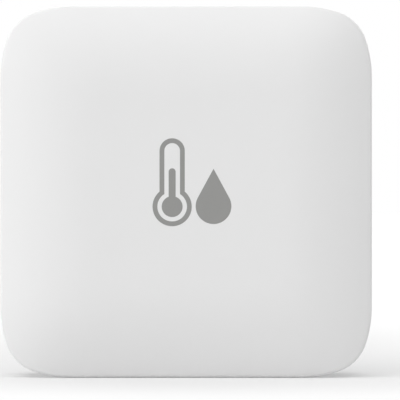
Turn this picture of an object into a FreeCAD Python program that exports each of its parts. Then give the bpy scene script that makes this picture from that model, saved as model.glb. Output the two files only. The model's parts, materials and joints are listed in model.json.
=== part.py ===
import FreeCAD, Part
import math
import os

import Sketcher

# A square, wall or table standing temperature and humidity sensor with rounded corners.
# Local axes of every sub-part: X to the right seen from the front, Y from the front face
# to the back, Z up, with the origin in the middle of the front face. The part's own frame
# has its origin under the middle of the box, on the surface that the sensor stands on.
# Lengths are in millimetres and angles in degrees.

SIZES = {
    # Coin cell
    "cell_diameter": 24.5,
    "cell_thickness": 5.0,
    "cell_sheet": 0.25,
    "cell_cap_setback": 1.95,
    "cell_gasket_width": 0.6,
    "cell_crimp_drop": 0.5,
    # Outside of the body
    "cell_surround": 9.25,
    "corner_reach": 8.2,
    "corner_soft_radius": 13.5,
    "corner_tight_radius": 5.0,
    "crown_reach": 10.3,
    "crown_angle": 25.0,
    "crown_corner_share": 0.45,
    "edge_round": 0.6,
    "back_edge_round": 0.8,
    # Walls and the stack from front to back
    "side_wall": 1.5,
    "front_wall": 1.5,
    "rear_wall": 1.5,
    "shield_clearance": 0.4,
    "shield_height": 1.7,
    "radio_board_thickness": 0.8,
    "board_thickness": 1.0,
    "holder_floor": 0.6,
    "door_space": 0.7,
    "door_thickness": 1.2,
    "pad_thickness": 0.8,
    "pad_recess": 0.4,
    "skirt_depth": 3.0,
    "seam_gap": 0.2,
    # Joint between the front cover and the rear housing
    "lip_play": 0.15,
    "lip_thickness": 1.1,
    "lip_height": 2.3,
    "snap_end_inset": 12.5,
    "snap_length": 5.0,
    "snap_height": 0.45,
    "snap_depth": 0.7,
    "snap_setback": 0.4,
    "snap_play": 0.1,
    "pry_notch_length": 6.0,
    "pry_notch_depth": 0.5,
    # Vents over the sensing chip
    "vent_width": 1.2,
    "vent_length": 3.6,
    "vent_pitch": 2.4,
    "vent_count": 7,
    # Circuit board and what fastens it
    "board_inset": 2.2,
    "boss_side_inset": 5.5,
    "boss_end_inset": 6.0,
    "boss_radius": 2.1,
    "peg_radius": 0.9,
    "peg_play": 0.1,
    "peg_height": 1.4,
    "screw_radius": 0.9,
    "screw_play": 0.02,
    "screw_hole_radius": 1.1,
    "screw_length": 5.0,
    "screw_head_radius": 1.7,
    "screw_head_height": 1.2,
    "screw_tip_room": 0.2,
    "screw_slot_reach": 1.0,
    "screw_slot_width": 0.5,
    "screw_slot_depth": 0.5,
    # Function button in the top wall
    "button_length": 7.0,
    "button_width": 2.6,
    "button_play": 0.1,
    "button_recess": 0.12,
    "button_setback": 1.0,
    "button_travel": 0.25,
    "button_flange": 1.2,
    "button_flange_thickness": 0.8,
    "button_flange_play": 0.05,
    "button_nub_width": 1.8,
    "button_nub_play": 0.02,
    "opening_room": 1.0,
    # Side-push switch behind the button
    "switch_drop": 2.0,
    "switch_width": 4.4,
    "switch_length": 3.0,
    "switch_height": 2.0,
    "switch_sheet": 0.2,
    "plunger_width": 1.9,
    "plunger_depth": 1.0,
    "plunger_height": 0.7,
    "plunger_root": 0.8,
    "plunger_play": 0.05,
    "plunger_room": 0.15,
    # Status light
    "light_spacing": 6.0,
    "light_radius": 0.95,
    "light_play": 0.05,
    "light_recess": 0.06,
    "light_flange": 0.55,
    "light_flange_thickness": 0.8,
    "light_gap": 0.2,
    "led_width": 1.6,
    "led_length": 1.0,
    "led_height": 1.4,
    # Cell holder and its contacts
    "cell_side_gap": 0.2,
    "holder_wall": 1.15,
    "holder_floor_width": 4.0,
    "holder_door_gap": 0.2,
    "holder_gap_width": 6.4,
    "finger_notch_angle": 36.0,
    "finger_notch_depth": 2.0,
    "hook_angle": 12.0,
    "hook_reach": 0.85,
    "hook_play": 0.05,
    "hook_door_gap": 0.2,
    "contact_sheet": 0.25,
    "contact_width": 5.0,
    "contact_foot": 2.7,
    "contact_play": 0.02,
    "spring_sheet": 0.2,
    "spring_width": 4.0,
    "spring_top": 6.0,
    "spring_span": 15.0,
    "spring_foot": 2.5,
    # Bayonet of the battery door
    "post_gap": 0.35,
    "post_thickness": 0.7,
    "post_play": 0.2,
    "lug_length": 1.4,
    "lug_thickness": 0.8,
    "lug_angle": 24.0,
    "lug_play": 0.1,
    "lug_end_play": 0.2,
    "lug_count": 3,
    "lock_angle": 90.0,
    "door_turn": 25.0,
    "notch_play_angle": 1.5,
    "stop_play_angle": 1.0,
    "stop_angle": 6.0,
    "ledge_thickness": 0.8,
    "seat_step": 0.2,
    "seat_gap": 0.1,
    "door_play": 0.1,
    "ring_wall": 1.3,
    # Back of the door
    "coin_slot_length": 12.0,
    "coin_slot_width": 2.0,
    "coin_slot_depth": 1.2,
    "island_margin": 1.0,
    "boss_under_slot": 0.45,
    "pad_rim": 2.7,
    "pad_play": 0.2,
    # Lock marks
    "mark_angle": 102.5,
    "mark_depth": 0.25,
    "mark_dot_radius": 0.5,
    "mark_ring_width": 0.3,
    "mark_offset": 2.3,
    "mark_triangle": 1.2,
    # Radio module
    "radio_side_inset": 8.0,
    "radio_top_inset": 5.5,
    "radio_width": 16.0,
    "radio_length": 24.0,
    "castellation_radius": 0.3,
    "castellation_pitch": 1.6,
    "castellation_count": 9,
    "shield_margin": 0.6,
    "antenna_length": 6.0,
    "shield_sheet": 0.2,
    "shield_corner": 0.5,
    "trace_thickness": 0.05,
    "trace_width": 0.5,
    "trace_pitch": 1.7,
    "trace_height": 4.2,
    "trace_turns": 7,
    "radio_chip_size": 6.0,
    "radio_chip_height": 0.9,
    "crystal_width": 3.2,
    "crystal_length": 2.5,
    "crystal_height": 0.8,
    "crystal_gap": 0.8,
    # Sensing chip
    "chip_size": 2.5,
    "chip_height": 0.9,
    "chip_port_radius": 0.4,
    "chip_port_depth": 0.3,
    "chip_edge_room": 2.7,
    "slot_width": 0.8,
    "slot_gap": 0.9,
    # Small parts on the front of the board
    "reservoir_side_inset": 10.5,
    "reservoir_top_inset": 17.5,
    "reservoir_width": 3.5,
    "reservoir_length": 2.8,
    "reservoir_height": 1.9,
    "chip_part_length": 1.6,
    "chip_part_width": 0.8,
    "resistor_height": 0.45,
    "capacitor_height": 0.8,
    "small_part_bottom_inset": 10.5,
    "small_part_pitch": 2.6,
    "resistor_side_inset": 8.7,
    "capacitor_side_inset": 9.0,
}
SMALL_PARTS_EACH = 4
CROWN_SECTIONS = 6
OVERCUT = 0.5


class Size:
    """A length, angle or count with both its value and its sheet expression."""

    def __init__(self, value, text):
        self.value = value
        self.text = text

    @staticmethod
    def of(item):
        """Take a plain number or a Size as a Size."""
        if isinstance(item, Size):
            return item
        return Size(float(item), f"({float(item)!r})")

    def joined(self, other, sign, value):
        """The Size of a sum, difference, product or quotient."""
        return Size(value, f"({self.text} {sign} {other.text})")

    def __add__(self, other):
        other = Size.of(other)
        return self.joined(other, "+", self.value + other.value)

    def __sub__(self, other):
        other = Size.of(other)
        return self.joined(other, "-", self.value - other.value)

    def __mul__(self, other):
        other = Size.of(other)
        return self.joined(other, "*", self.value * other.value)

    def __truediv__(self, other):
        other = Size.of(other)
        return self.joined(other, "/", self.value / other.value)

    def __radd__(self, other):
        return Size.of(other) + self

    def __rsub__(self, other):
        return Size.of(other) - self

    def __rmul__(self, other):
        return Size.of(other) * self

    def __rtruediv__(self, other):
        return Size.of(other) / self

    def __neg__(self):
        return Size.of(0) - self


def sine(angle):
    """Sine of an angle in degrees."""
    angle = Size.of(angle)
    return Size(math.sin(math.radians(angle.value)), f"sin({angle.text} * 1 deg)")


def cosine(angle):
    """Cosine of an angle in degrees."""
    angle = Size.of(angle)
    return Size(math.cos(math.radians(angle.value)), f"cos({angle.text} * 1 deg)")


def quarter_turned(point, quarters):
    """A point turned counter-clockwise about the origin by a number of quarter turns."""
    across, up = point
    for _ in range(quarters):
        across, up = -up, across
    return across, up


class Sheet:
    """The spreadsheet of driving sizes, read as attributes."""

    def __init__(self, document, sizes):
        self.sizes = sizes
        cells = document.addObject("Spreadsheet::Sheet", "Sizes")
        for row, (alias, value) in enumerate(sizes.items(), start=1):
            cells.set(f"A{row}", str(value))
            cells.setAlias(f"A{row}", alias)
        document.recompute()

    def __getattr__(self, alias):
        return Size(self.sizes[alias], f"Sizes.{alias}")


doc = FreeCAD.newDocument("temperature_humidity_sensor")
s = Sheet(doc, SIZES)

# Plan sizes, from the middle of the face outwards
half_body = s.cell_diameter / 2 + s.cell_surround
inner_half = half_body - s.side_wall
cell_radius = s.cell_diameter / 2
holder_inner_radius = cell_radius + s.cell_side_gap
holder_outer_radius = holder_inner_radius + s.holder_wall
post_inner_radius = cell_radius + s.post_gap
post_outer_radius = post_inner_radius + s.post_thickness
ledge_radius = post_outer_radius + s.post_play
lug_radius = post_outer_radius + s.lug_length
notch_radius = lug_radius + s.lug_end_play
seat_radius = notch_radius + s.seat_step
door_radius = seat_radius - s.door_play
ring_radius = seat_radius + s.ring_wall
pad_recess_radius = door_radius - s.pad_rim
mark_radius = seat_radius + s.mark_offset
boss_across = half_body - s.boss_side_inset
boss_up = half_body - s.boss_end_inset
snap_level = half_body - s.snap_end_inset
light_across = s.button_length / 2 + s.light_spacing
radio_across = -(half_body - s.radio_side_inset - s.radio_width / 2)
radio_up = half_body - s.radio_top_inset - s.radio_length / 2

# Depths, from the front face to the back
board_front = s.front_wall + s.shield_clearance + s.shield_height + s.radio_board_thickness
board_back = board_front + s.board_thickness
cell_front = board_back + s.holder_floor
cell_back = cell_front + s.cell_thickness
door_front = cell_back + s.door_space
back_face = door_front + s.door_thickness
pad_front = back_face - s.pad_recess
overall_depth = pad_front + s.pad_thickness
skirt_front = back_face - s.skirt_depth
cover_end = skirt_front - s.seam_gap
lip_front = skirt_front - s.lip_height
rear_wall_front = back_face - s.rear_wall
seat_face = door_front - s.seat_gap
ledge_front = seat_face - s.ledge_thickness
lug_back = ledge_front - s.lug_play
lug_front = lug_back - s.lug_thickness
holder_top = lug_front - s.holder_door_gap
snap_front = lip_front + s.snap_setback

# Crown of the front face: an arc that falls away from the flat middle to the edge
crown_radius = s.crown_reach / sine(s.crown_angle)
crown_drop = crown_radius * (1 - cosine(s.crown_angle))

# Button, switch and light, from the inside of the top wall down
button_depth = board_back + s.button_setback
button_flange_top = inner_half - s.button_flange_play
button_flange_bottom = button_flange_top - s.button_flange_thickness
switch_top = inner_half - s.switch_drop
plunger_top = switch_top + s.plunger_height
plunger_bottom = switch_top - s.plunger_root
opening_left = -(s.button_length / 2 + s.button_flange + s.opening_room)
opening_right = light_across + s.light_radius + s.light_flange + s.opening_room
board_notch_bottom = plunger_top - s.button_travel
chip_up = s.board_inset + s.chip_edge_room - half_body

# Clock angles of the bayonet, counter-clockwise from the right as seen from the front
lug_spacing = 360 / s.lug_count
unlocked_angle = s.lock_angle - s.door_turn
free_angle = s.lock_angle + (lug_spacing - s.door_turn) / 2


def bind(item, path, size):
    """Tie one property of an object to the sheet."""
    item.setExpression(path, Size.of(size).text)


def node(item, label):
    """Name a sub-part and move it from the local axes to the part's frame."""
    item.Label = label
    bind(item, "Placement.Base.y", -(overall_depth / 2))
    bind(item, "Placement.Base.z", half_body)
    NODES.append(item)
    return item


NODES = []
CUTS = []


class Drawing:
    """A sketch on one of a body's own planes, with every dimension bound."""

    def __init__(self, body, name, plane, offset, turn=None):
        self.body = body
        self.plane = plane
        self.rules = []
        self.sketch = body.newObject("Sketcher::SketchObject", name)
        support = [item for item in body.Origin.OriginFeatures if item.Role == plane]
        self.sketch.AttachmentSupport = (support[0], [""])
        self.sketch.MapMode = "FlatFace"
        side = -1 if plane == "XZ_Plane" else 1
        bind(self.sketch, "AttachmentOffset.Base.z", side * Size.of(offset))
        if turn is not None:
            turned = FreeCAD.Rotation(FreeCAD.Vector(0, 1, 0), -Size.of(turn).value)
            self.sketch.AttachmentOffset = FreeCAD.Placement(FreeCAD.Vector(0, 0, 0), turned)
            bind(self.sketch, "AttachmentOffset.Rotation.Angle", -Size.of(turn))

    def add(self, curve):
        """Add a curve and return its number."""
        return self.sketch.addGeometry(curve)

    def relate(self, kind, *where):
        """Add a constraint that has no size."""
        self.rules.append((Sketcher.Constraint(kind, *where), None))

    def measure(self, kind, where, size):
        """Add a constraint whose size is bound to the sheet."""
        size = Size.of(size)
        self.rules.append((Sketcher.Constraint(kind, *where, size.value), size.text))

    def fix(self, curve, point, across, up):
        """Hold a point of a curve at its distances from the sketch's origin."""
        self.measure("DistanceX", (-1, 1, curve, point), across)
        self.measure("DistanceY", (-1, 1, curve, point), up)

    def line(self, start, end):
        """Add a straight line between two points given by their values."""
        return self.add(Part.LineSegment(FreeCAD.Vector(*start, 0), FreeCAD.Vector(*end, 0)))

    def arc(self, centre, radius, start, end):
        """Add an arc that runs counter-clockwise between two angles in degrees."""
        circle = Part.Circle(FreeCAD.Vector(*centre, 0), FreeCAD.Vector(0, 0, 1), radius)
        return self.add(Part.ArcOfCircle(circle, math.radians(start), math.radians(end)))

    def polygon(self, points):
        """Add a closed outline of straight lines."""
        points = [(Size.of(across), Size.of(up)) for across, up in points]
        values = [(across.value, up.value) for across, up in points]
        lines = [self.line(a, b) for a, b in zip(values, values[1:] + values[:1])]
        for number, (across, up) in enumerate(points):
            self.relate("Coincident", lines[number - 1], 2, lines[number], 1)
            self.fix(lines[number], 1, across, up)
        return self

    def rectangle(self, left, right, low, high):
        """Add a rectangle by its four sides."""
        return self.polygon([(left, low), (right, low), (right, high), (left, high)])

    def circle(self, across, up, radius):
        """Add a circle."""
        across, up, radius = Size.of(across), Size.of(up), Size.of(radius)
        centre = FreeCAD.Vector(across.value, up.value, 0)
        curve = self.add(Part.Circle(centre, FreeCAD.Vector(0, 0, 1), radius.value))
        self.fix(curve, 3, across, up)
        self.measure("Radius", (curve,), radius)
        return self

    def tangent_loop(self, curves):
        """Join curves end to start, each running smoothly into the next."""
        for curve, following in zip(curves, curves[1:] + curves[:1]):
            self.relate("Tangent", curve, 2, following, 1)

    def rounded_rectangle(self, across, up, width, height, radius):
        """Add a rectangle with rounded corners about a centre."""
        across, up, radius = Size.of(across), Size.of(up), Size.of(radius)
        reach_x = Size.of(width) / 2 - radius
        reach_y = Size.of(height) / 2 - radius
        curves = []
        for quarter, (side, level) in enumerate([(1, -1), (1, 1), (-1, 1), (-1, -1)]):
            centre_x = across + side * reach_x
            centre_y = up + level * reach_y
            start = quarter * 90 - 90
            bend = self.arc((centre_x.value, centre_y.value), radius.value, start, start + 90)
            self.fix(bend, 3, centre_x, centre_y)
            self.measure("Radius", (bend,), radius)
            curves.append(bend)
        ends = [self.sketch.getPoint(bend, 2) for bend in curves]
        starts = [self.sketch.getPoint(bend, 1) for bend in curves[1:] + curves[:1]]
        sides = [self.line((a.x, a.y), (b.x, b.y)) for a, b in zip(ends, starts)]
        self.tangent_loop([curve for pair in zip(curves, sides) for curve in pair])
        return self

    def stadium(self, across, up, length, width, upright=False):
        """Add a slot outline with round ends, lying along one of the two axes."""
        across, up, radius = Size.of(across), Size.of(up), Size.of(width) / 2
        reach = Size.of(length) / 2 - radius
        curves = []
        for side, start in ((1, -90), (-1, 90)):
            centre_x = across if upright else across + side * reach
            centre_y = up + side * reach if upright else up
            start = start + 90 if upright else start
            bend = self.arc((centre_x.value, centre_y.value), radius.value, start, start + 180)
            self.fix(bend, 3, centre_x, centre_y)
            self.measure("Radius", (bend,), radius)
            curves.append(bend)
        ends = [self.sketch.getPoint(bend, 2) for bend in curves]
        starts = [self.sketch.getPoint(curves[1], 1), self.sketch.getPoint(curves[0], 1)]
        sides = [self.line((a.x, a.y), (b.x, b.y)) for a, b in zip(ends, starts)]
        self.tangent_loop([curves[0], sides[0], curves[1], sides[1]])
        return self

    def body_outline(self, inset):
        """Add the square outline of the body, drawn in by an inset.

        Each corner bends softly, then tightly, then softly again, in three arcs whose radii
        shrink with the inset, so that it is squarer than a plain quarter circle.
        """
        inset = Size.of(inset)
        share = 1 - (1 - s.crown_corner_share) * inset / s.crown_reach
        reach = s.corner_reach * share
        half = half_body - inset
        loop = []
        for quarter in range(4):
            start = quarter_turned((half, reach - half), quarter)
            end = quarter_turned((half, half - reach), quarter)
            side = self.line((start[0].value, start[1].value), (end[0].value, end[1].value))
            self.fix(side, 1, *start)
            self.fix(side, 2, *end)
            loop += [side] + self.body_corner(quarter, half, reach, share)
        self.tangent_loop(loop)
        return self

    def body_corner(self, quarter, half, reach, share):
        """Add the three arcs of the corner that follows a side, counter-clockwise."""
        soft = s.corner_soft_radius * share
        tight = s.corner_tight_radius * share
        bulge = (reach.value - tight.value) / (soft.value - tight.value)
        turn = 45 + math.degrees(math.asin((bulge - 1) / math.sqrt(2)))
        near, far = half - soft, half - reach
        middle = (near + (soft - tight) * cosine(turn), far + (soft - tight) * sine(turn))
        bends = []
        for centre, radius, start, end in (((near, far), soft, 0, turn),
                                           (middle, tight, turn, 90 - turn),
                                           ((far, near), soft, 90 - turn, 90)):
            across, up = quarter_turned(centre, quarter)
            spin = quarter * 90
            bend = self.arc((across.value, up.value), radius.value, spin + start, spin + end)
            self.measure("Radius", (bend,), radius)
            bends.append(bend)
        return bends

    def finish(self):
        """Hand all constraints to the sketch and bind the measured ones."""
        numbers = self.sketch.addConstraint([rule for rule, _ in self.rules])
        for number, (_, text) in zip(numbers, self.rules):
            if text is not None:
                self.sketch.setExpression(f"Constraints[{number}]", text)
        return self.sketch


def new_body(name):
    """A body for one sub-part."""
    return doc.addObject("PartDesign::Body", name)


def origin_feature(body, role):
    """One of the body's own axes or planes."""
    return [item for item in body.Origin.OriginFeatures if item.Role == role][0]


def pad(drawing, name, length):
    """Add material from the drawing towards the back, up or to the right."""
    feature = drawing.body.newObject("PartDesign::Pad", name)
    feature.Profile = drawing.finish()
    feature.Reversed = drawing.plane == "XZ_Plane"
    bind(feature, "Length", length)
    return feature


def pocket(drawing, name, length):
    """Take material away from the drawing towards the back, up or to the right."""
    feature = drawing.body.newObject("PartDesign::Pocket", name)
    feature.Profile = drawing.finish()
    feature.Reversed = drawing.plane != "XZ_Plane"
    bind(feature, "Length", length)
    CUTS.append(feature)
    return feature


def revolve(drawing, name, sweep=360, cut=False):
    """Turn a half section about the axis that runs from front to back."""
    kind = "PartDesign::Groove" if cut else "PartDesign::Revolution"
    feature = drawing.body.newObject(kind, name)
    feature.Profile = drawing.finish()
    feature.ReferenceAxis = (drawing.sketch, ["V_Axis"])
    bind(feature, "Angle", sweep)
    if cut:
        CUTS.append(feature)
    return feature


def half_section(body, name, points, turn=None):
    """A drawing of a half section: distance from the axis across, depth up."""
    return Drawing(body, name, "XY_Plane", 0, turn).polygon(points)


def ring_piece(body, name, radii, depths, centre=0, sweep=360, cut=False):
    """A ring, or a sector of one about a clock angle, between two radii and depths."""
    inner, outer = radii
    front, back = depths
    points = [(inner, front), (outer, front), (outer, back), (inner, back)]
    turn = Size.of(centre) + Size.of(sweep) / 2
    return revolve(half_section(body, f"{name}_section", points, turn), name, sweep, cut)


def polar_copies(body, name, features, count):
    """Repeat features evenly about the axis that runs from front to back."""
    pattern = body.newObject("PartDesign::PolarPattern", name)
    pattern.Originals = features
    pattern.Axis = (origin_feature(body, "Y_Axis"), [""])
    pattern.Angle = 360
    bind(pattern, "Occurrences", count)
    body.Tip = pattern
    return pattern


def row_copies(body, name, features, axis, pitch, count):
    """Repeat features in a row along one of the body's axes."""
    pattern = body.newObject("PartDesign::LinearPattern", name)
    pattern.Originals = features
    pattern.Direction = (origin_feature(body, axis), [""])
    bind(pattern, "Occurrences", count)
    bind(pattern, "Length", Size.of(pitch) * (Size.of(count) - 1))
    body.Tip = pattern
    return pattern


def round_edges(body, name, depth, beyond, radius):
    """Round the edges that lie at one depth, further out than a distance from the axis."""
    doc.recompute()
    base = body.Tip
    names = []
    for number, edge in enumerate(base.Shape.Edges, start=1):
        points = [edge.valueAt(edge.FirstParameter + share * (edge.LastParameter - edge.FirstParameter))
                  for share in (0.0, 0.5, 1.0)]
        level = all(abs(point.y - depth.value) < 1e-4 for point in points)
        outside = all(math.hypot(point.x, point.z) > beyond.value for point in points)
        if level and outside:
            names.append(f"Edge{number}")
    fillet = body.newObject("PartDesign::Fillet", name)
    fillet.Base = (base, names)
    bind(fillet, "Radius", radius)
    body.Tip = fillet
    doc.recompute()
    return fillet


def block(name, low, high, shift=(0, 0, 0)):
    """A plain block between two corners, each given as across, depth and up."""
    box = doc.addObject("Part::Box", name)
    for letter, side, near, far, move in zip("xyz", ("Length", "Width", "Height"), low, high, shift):
        near, far = Size.of(near), Size.of(far)
        bind(box, side, far - near)
        bind(box, f"Placement.Base.{letter}", near + move)
    return box


def block_node(label, low, high):
    """A sub-part that is one plain block, placed straight in the part's frame."""
    box = block(label, low, high, (0, -(overall_depth / 2), half_body))
    box.Label = label
    NODES.append(box)
    return box


def front_block(label, surface, centre, size):
    """A sub-part that is a block of a width, length and height on the front of a surface."""
    across, up = centre
    width, length, height = size
    return block_node(label, (across - width / 2, surface - height, up - length / 2),
                      (across + width / 2, surface, up + length / 2))


def cylinder(name, across, up, front, back, radius):
    """A round bar that runs from front to back."""
    bar = doc.addObject("Part::Cylinder", name)
    bar.Placement.Rotation = FreeCAD.Rotation(FreeCAD.Vector(1, 0, 0), -90)
    bind(bar, "Radius", radius)
    bind(bar, "Height", Size.of(back) - front)
    bind(bar, "Placement.Base.x", across)
    bind(bar, "Placement.Base.y", front)
    bind(bar, "Placement.Base.z", up)
    return bar


def difference(name, base, tool):
    """One shape less another."""
    result = doc.addObject("Part::Cut", name)
    result.Base = base
    result.Tool = tool
    return result


def crown_sections(body, name, radius, last_angle):
    """Outlines along the crown: each at its own angle of the arc, drawn in and set back."""
    sections = []
    for number in range(CROWN_SECTIONS):
        angle = Size.of(last_angle) * (number / (CROWN_SECTIONS - 1))
        inset = s.crown_reach - radius * sine(angle)
        depth = crown_radius - radius * cosine(angle)
        drawing = Drawing(body, f"{name}_{number + 1}", "XZ_Plane", depth)
        sections.append(drawing.body_outline(inset).finish())
    return sections


def loft(body, name, sections, cut=False):
    """Add or remove the smooth solid that runs through the sections."""
    feature = body.newObject("PartDesign::SubtractiveLoft" if cut else "PartDesign::AdditiveLoft", name)
    feature.Profile = sections[0]
    feature.Sections = sections[1:]
    if cut:
        CUTS.append(feature)
    return feature


def make_front_cover():
    """The crowned face with its side walls, snap pockets, vents and top openings."""
    body = new_body("front_cover")
    loft(body, "crown", crown_sections(body, "crown_outline", crown_radius, s.crown_angle))
    side = Drawing(body, "side_outline", "XZ_Plane", crown_drop).body_outline(0)
    pad(side, "sides", cover_end - crown_drop)
    round_edges(body, "crown_edge", crown_drop, cell_radius, s.edge_round)

    # The inside of the crown is parallel to the outside and stops at the side wall
    inside_radius = crown_radius - s.front_wall
    inside_sine = (s.crown_reach - s.side_wall) / inside_radius
    inside_angle = Size(math.degrees(math.asin(inside_sine.value)), f"(asin({inside_sine.text}) / 1 deg)")
    inside_depth = crown_radius - inside_radius * cosine(inside_angle)
    loft(body, "crown_inside", crown_sections(body, "inside_outline", inside_radius, inside_angle), cut=True)
    hollow = Drawing(body, "hollow_outline", "XZ_Plane", inside_depth).body_outline(s.side_wall)
    pocket(hollow, "hollow", cover_end - inside_depth)

    pocket_front = snap_front - s.snap_play
    pockets = Drawing(body, "snap_pocket_outline", "XZ_Plane", pocket_front)
    for side in (-1, 1):
        for level in (-1, 1):
            middle = level * snap_level
            reach = s.snap_length / 2 + s.snap_play * 2
            near = side * (inner_half - OVERCUT)
            far = side * (inner_half + s.snap_height + s.snap_play)
            pockets.rectangle(near, far, middle - reach, middle + reach)
    pocket(pockets, "snap_pockets", s.snap_depth + s.snap_play * 2)

    vent = Drawing(body, "vent_outline", "XY_Plane", -half_body - OVERCUT)
    first_vent = -(s.vent_pitch * (s.vent_count - 1) / 2)
    vent.stadium(first_vent, board_back, s.vent_length, s.vent_width, upright=True)
    first = pocket(vent, "vent", s.side_wall + 2 * OVERCUT)
    row_copies(body, "vents", [first], "X_Axis", s.vent_pitch, s.vent_count)

    holes = Drawing(body, "top_hole_outline", "XY_Plane", inner_half - OVERCUT)
    holes.stadium(0, button_depth, s.button_length + 2 * s.button_play, s.button_width + 2 * s.button_play)
    holes.circle(light_across, button_depth, s.light_radius + s.light_play)
    pocket(holes, "top_holes", s.side_wall + 2 * OVERCUT)
    node(body, "front_cover")


def make_rear_housing():
    """The back shell with its lip, snap hooks, board bosses and bayonet ring."""
    body = new_body("rear_housing")
    lip_outer_inset = s.side_wall + s.lip_play
    lip_inner_inset = lip_outer_inset + s.lip_thickness
    shell = Drawing(body, "shell_outline", "XZ_Plane", skirt_front).body_outline(0)
    pad(shell, "shell", s.skirt_depth)
    round_edges(body, "back_edge", back_face, ring_radius, s.back_edge_round)
    lip = Drawing(body, "lip_outline", "XZ_Plane", lip_front).body_outline(lip_outer_inset)
    pad(lip, "lip", s.lip_height)
    hollow = Drawing(body, "hollow_outline", "XZ_Plane", lip_front).body_outline(lip_inner_inset)
    pocket(hollow, "hollow", rear_wall_front - lip_front)
    ring = Drawing(body, "ring_outline", "XZ_Plane", ledge_front).circle(0, 0, ring_radius)
    pad(ring, "ring", rear_wall_front - ledge_front)

    opening = Drawing(body, "lip_opening_outline", "XZ_Plane", lip_front)
    opening.rectangle(opening_left, opening_right, switch_top, inner_half)
    pocket(opening, "lip_opening", s.lip_height)

    for side in (-1, 1):
        for level in (-1, 1):
            make_snap_hook(body, side, level, lip_outer_inset)
            make_boss(body, side, level)

    ledge = Drawing(body, "ledge_bore_outline", "XZ_Plane", ledge_front).circle(0, 0, ledge_radius)
    pocket(ledge, "ledge_bore", back_face - ledge_front)
    seat = Drawing(body, "seat_outline", "XZ_Plane", seat_face).circle(0, 0, seat_radius)
    pocket(seat, "seat", back_face - seat_face)

    notch_sweep = s.lug_angle + 2 * s.notch_play_angle
    notch = ring_piece(body, "lug_notch", (ledge_radius - OVERCUT, notch_radius),
                       (ledge_front - OVERCUT, seat_face + s.seat_gap),
                       unlocked_angle, notch_sweep, cut=True)
    polar_copies(body, "lug_notches", [notch], s.lug_count)
    stop_reach = s.lug_angle / 2 + s.stop_play_angle + s.stop_angle / 2
    stop_radii = (ledge_radius, notch_radius)
    stop_depths = (lug_front, ledge_front + s.ledge_thickness / 2)
    lock_stop = ring_piece(body, "lock_stop", stop_radii, stop_depths,
                           s.lock_angle + stop_reach, s.stop_angle)
    open_stop = ring_piece(body, "open_stop", stop_radii, stop_depths,
                           unlocked_angle - stop_reach, s.stop_angle)
    polar_copies(body, "stops", [lock_stop, open_stop], s.lug_count)

    # A sunk dot marks the locked place of the door and a sunk ring the unlocked one
    marks = Drawing(body, "mark_outline", "XZ_Plane", back_face - s.mark_depth)
    locked = (mark_radius * cosine(s.mark_angle), mark_radius * sine(s.mark_angle))
    open_angle = s.mark_angle - s.door_turn
    unlocked = (mark_radius * cosine(open_angle), mark_radius * sine(open_angle))
    marks.circle(*locked, s.mark_dot_radius)
    marks.circle(*unlocked, s.mark_dot_radius)
    marks.circle(*unlocked, s.mark_dot_radius + s.mark_ring_width)
    pocket(marks, "marks", s.mark_depth)

    pry = Drawing(body, "pry_notch_outline", "XZ_Plane", skirt_front)
    pry.rectangle(-(s.pry_notch_length / 2), s.pry_notch_length / 2, -half_body - OVERCUT,
                  -half_body + s.side_wall / 2)
    pocket(pry, "pry_notch", s.pry_notch_depth)
    node(body, "rear_housing")


def make_snap_hook(body, side, level, lip_inset):
    """One wedge on the lip, sloped in front and square behind, that clicks into the cover."""
    name = f"hook_{'right' if side > 0 else 'left'}_{'top' if level > 0 else 'bottom'}"
    lip_face = half_body - lip_inset
    root = lip_face - s.lip_thickness / 2
    tip = lip_face + s.snap_height
    slope_start = snap_front - s.snap_height / 2
    points = [(side * root, slope_start), (side * lip_face, slope_start),
              (side * tip, snap_front + s.snap_depth / 2), (side * tip, snap_front + s.snap_depth),
              (side * root, snap_front + s.snap_depth)]
    middle = level * snap_level
    wedge = Drawing(body, f"{name}_outline", "XY_Plane", middle - s.snap_length / 2).polygon(points)
    pad(wedge, name, s.snap_length)


def make_boss(body, side, level):
    """One board post: two opposite ones take a screw and the other two carry a locating peg."""
    name = f"boss_{'right' if side > 0 else 'left'}_{'top' if level > 0 else 'bottom'}"
    across = side * boss_across
    up = level * boss_up
    post = Drawing(body, f"{name}_outline", "XZ_Plane", board_back).circle(across, up, s.boss_radius)
    pad(post, name, rear_wall_front - board_back)
    if side * level < 0:
        hole = Drawing(body, f"{name}_hole_outline", "XZ_Plane", board_back)
        hole.circle(across, up, s.screw_radius + s.screw_play)
        pocket(hole, f"{name}_hole", s.screw_length - s.board_thickness + s.screw_tip_room)
    else:
        peg = Drawing(body, f"{name}_peg_outline", "XZ_Plane", board_back - s.peg_height)
        peg.circle(across, up, s.peg_radius)
        pad(peg, f"{name}_peg", s.peg_height)


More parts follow.
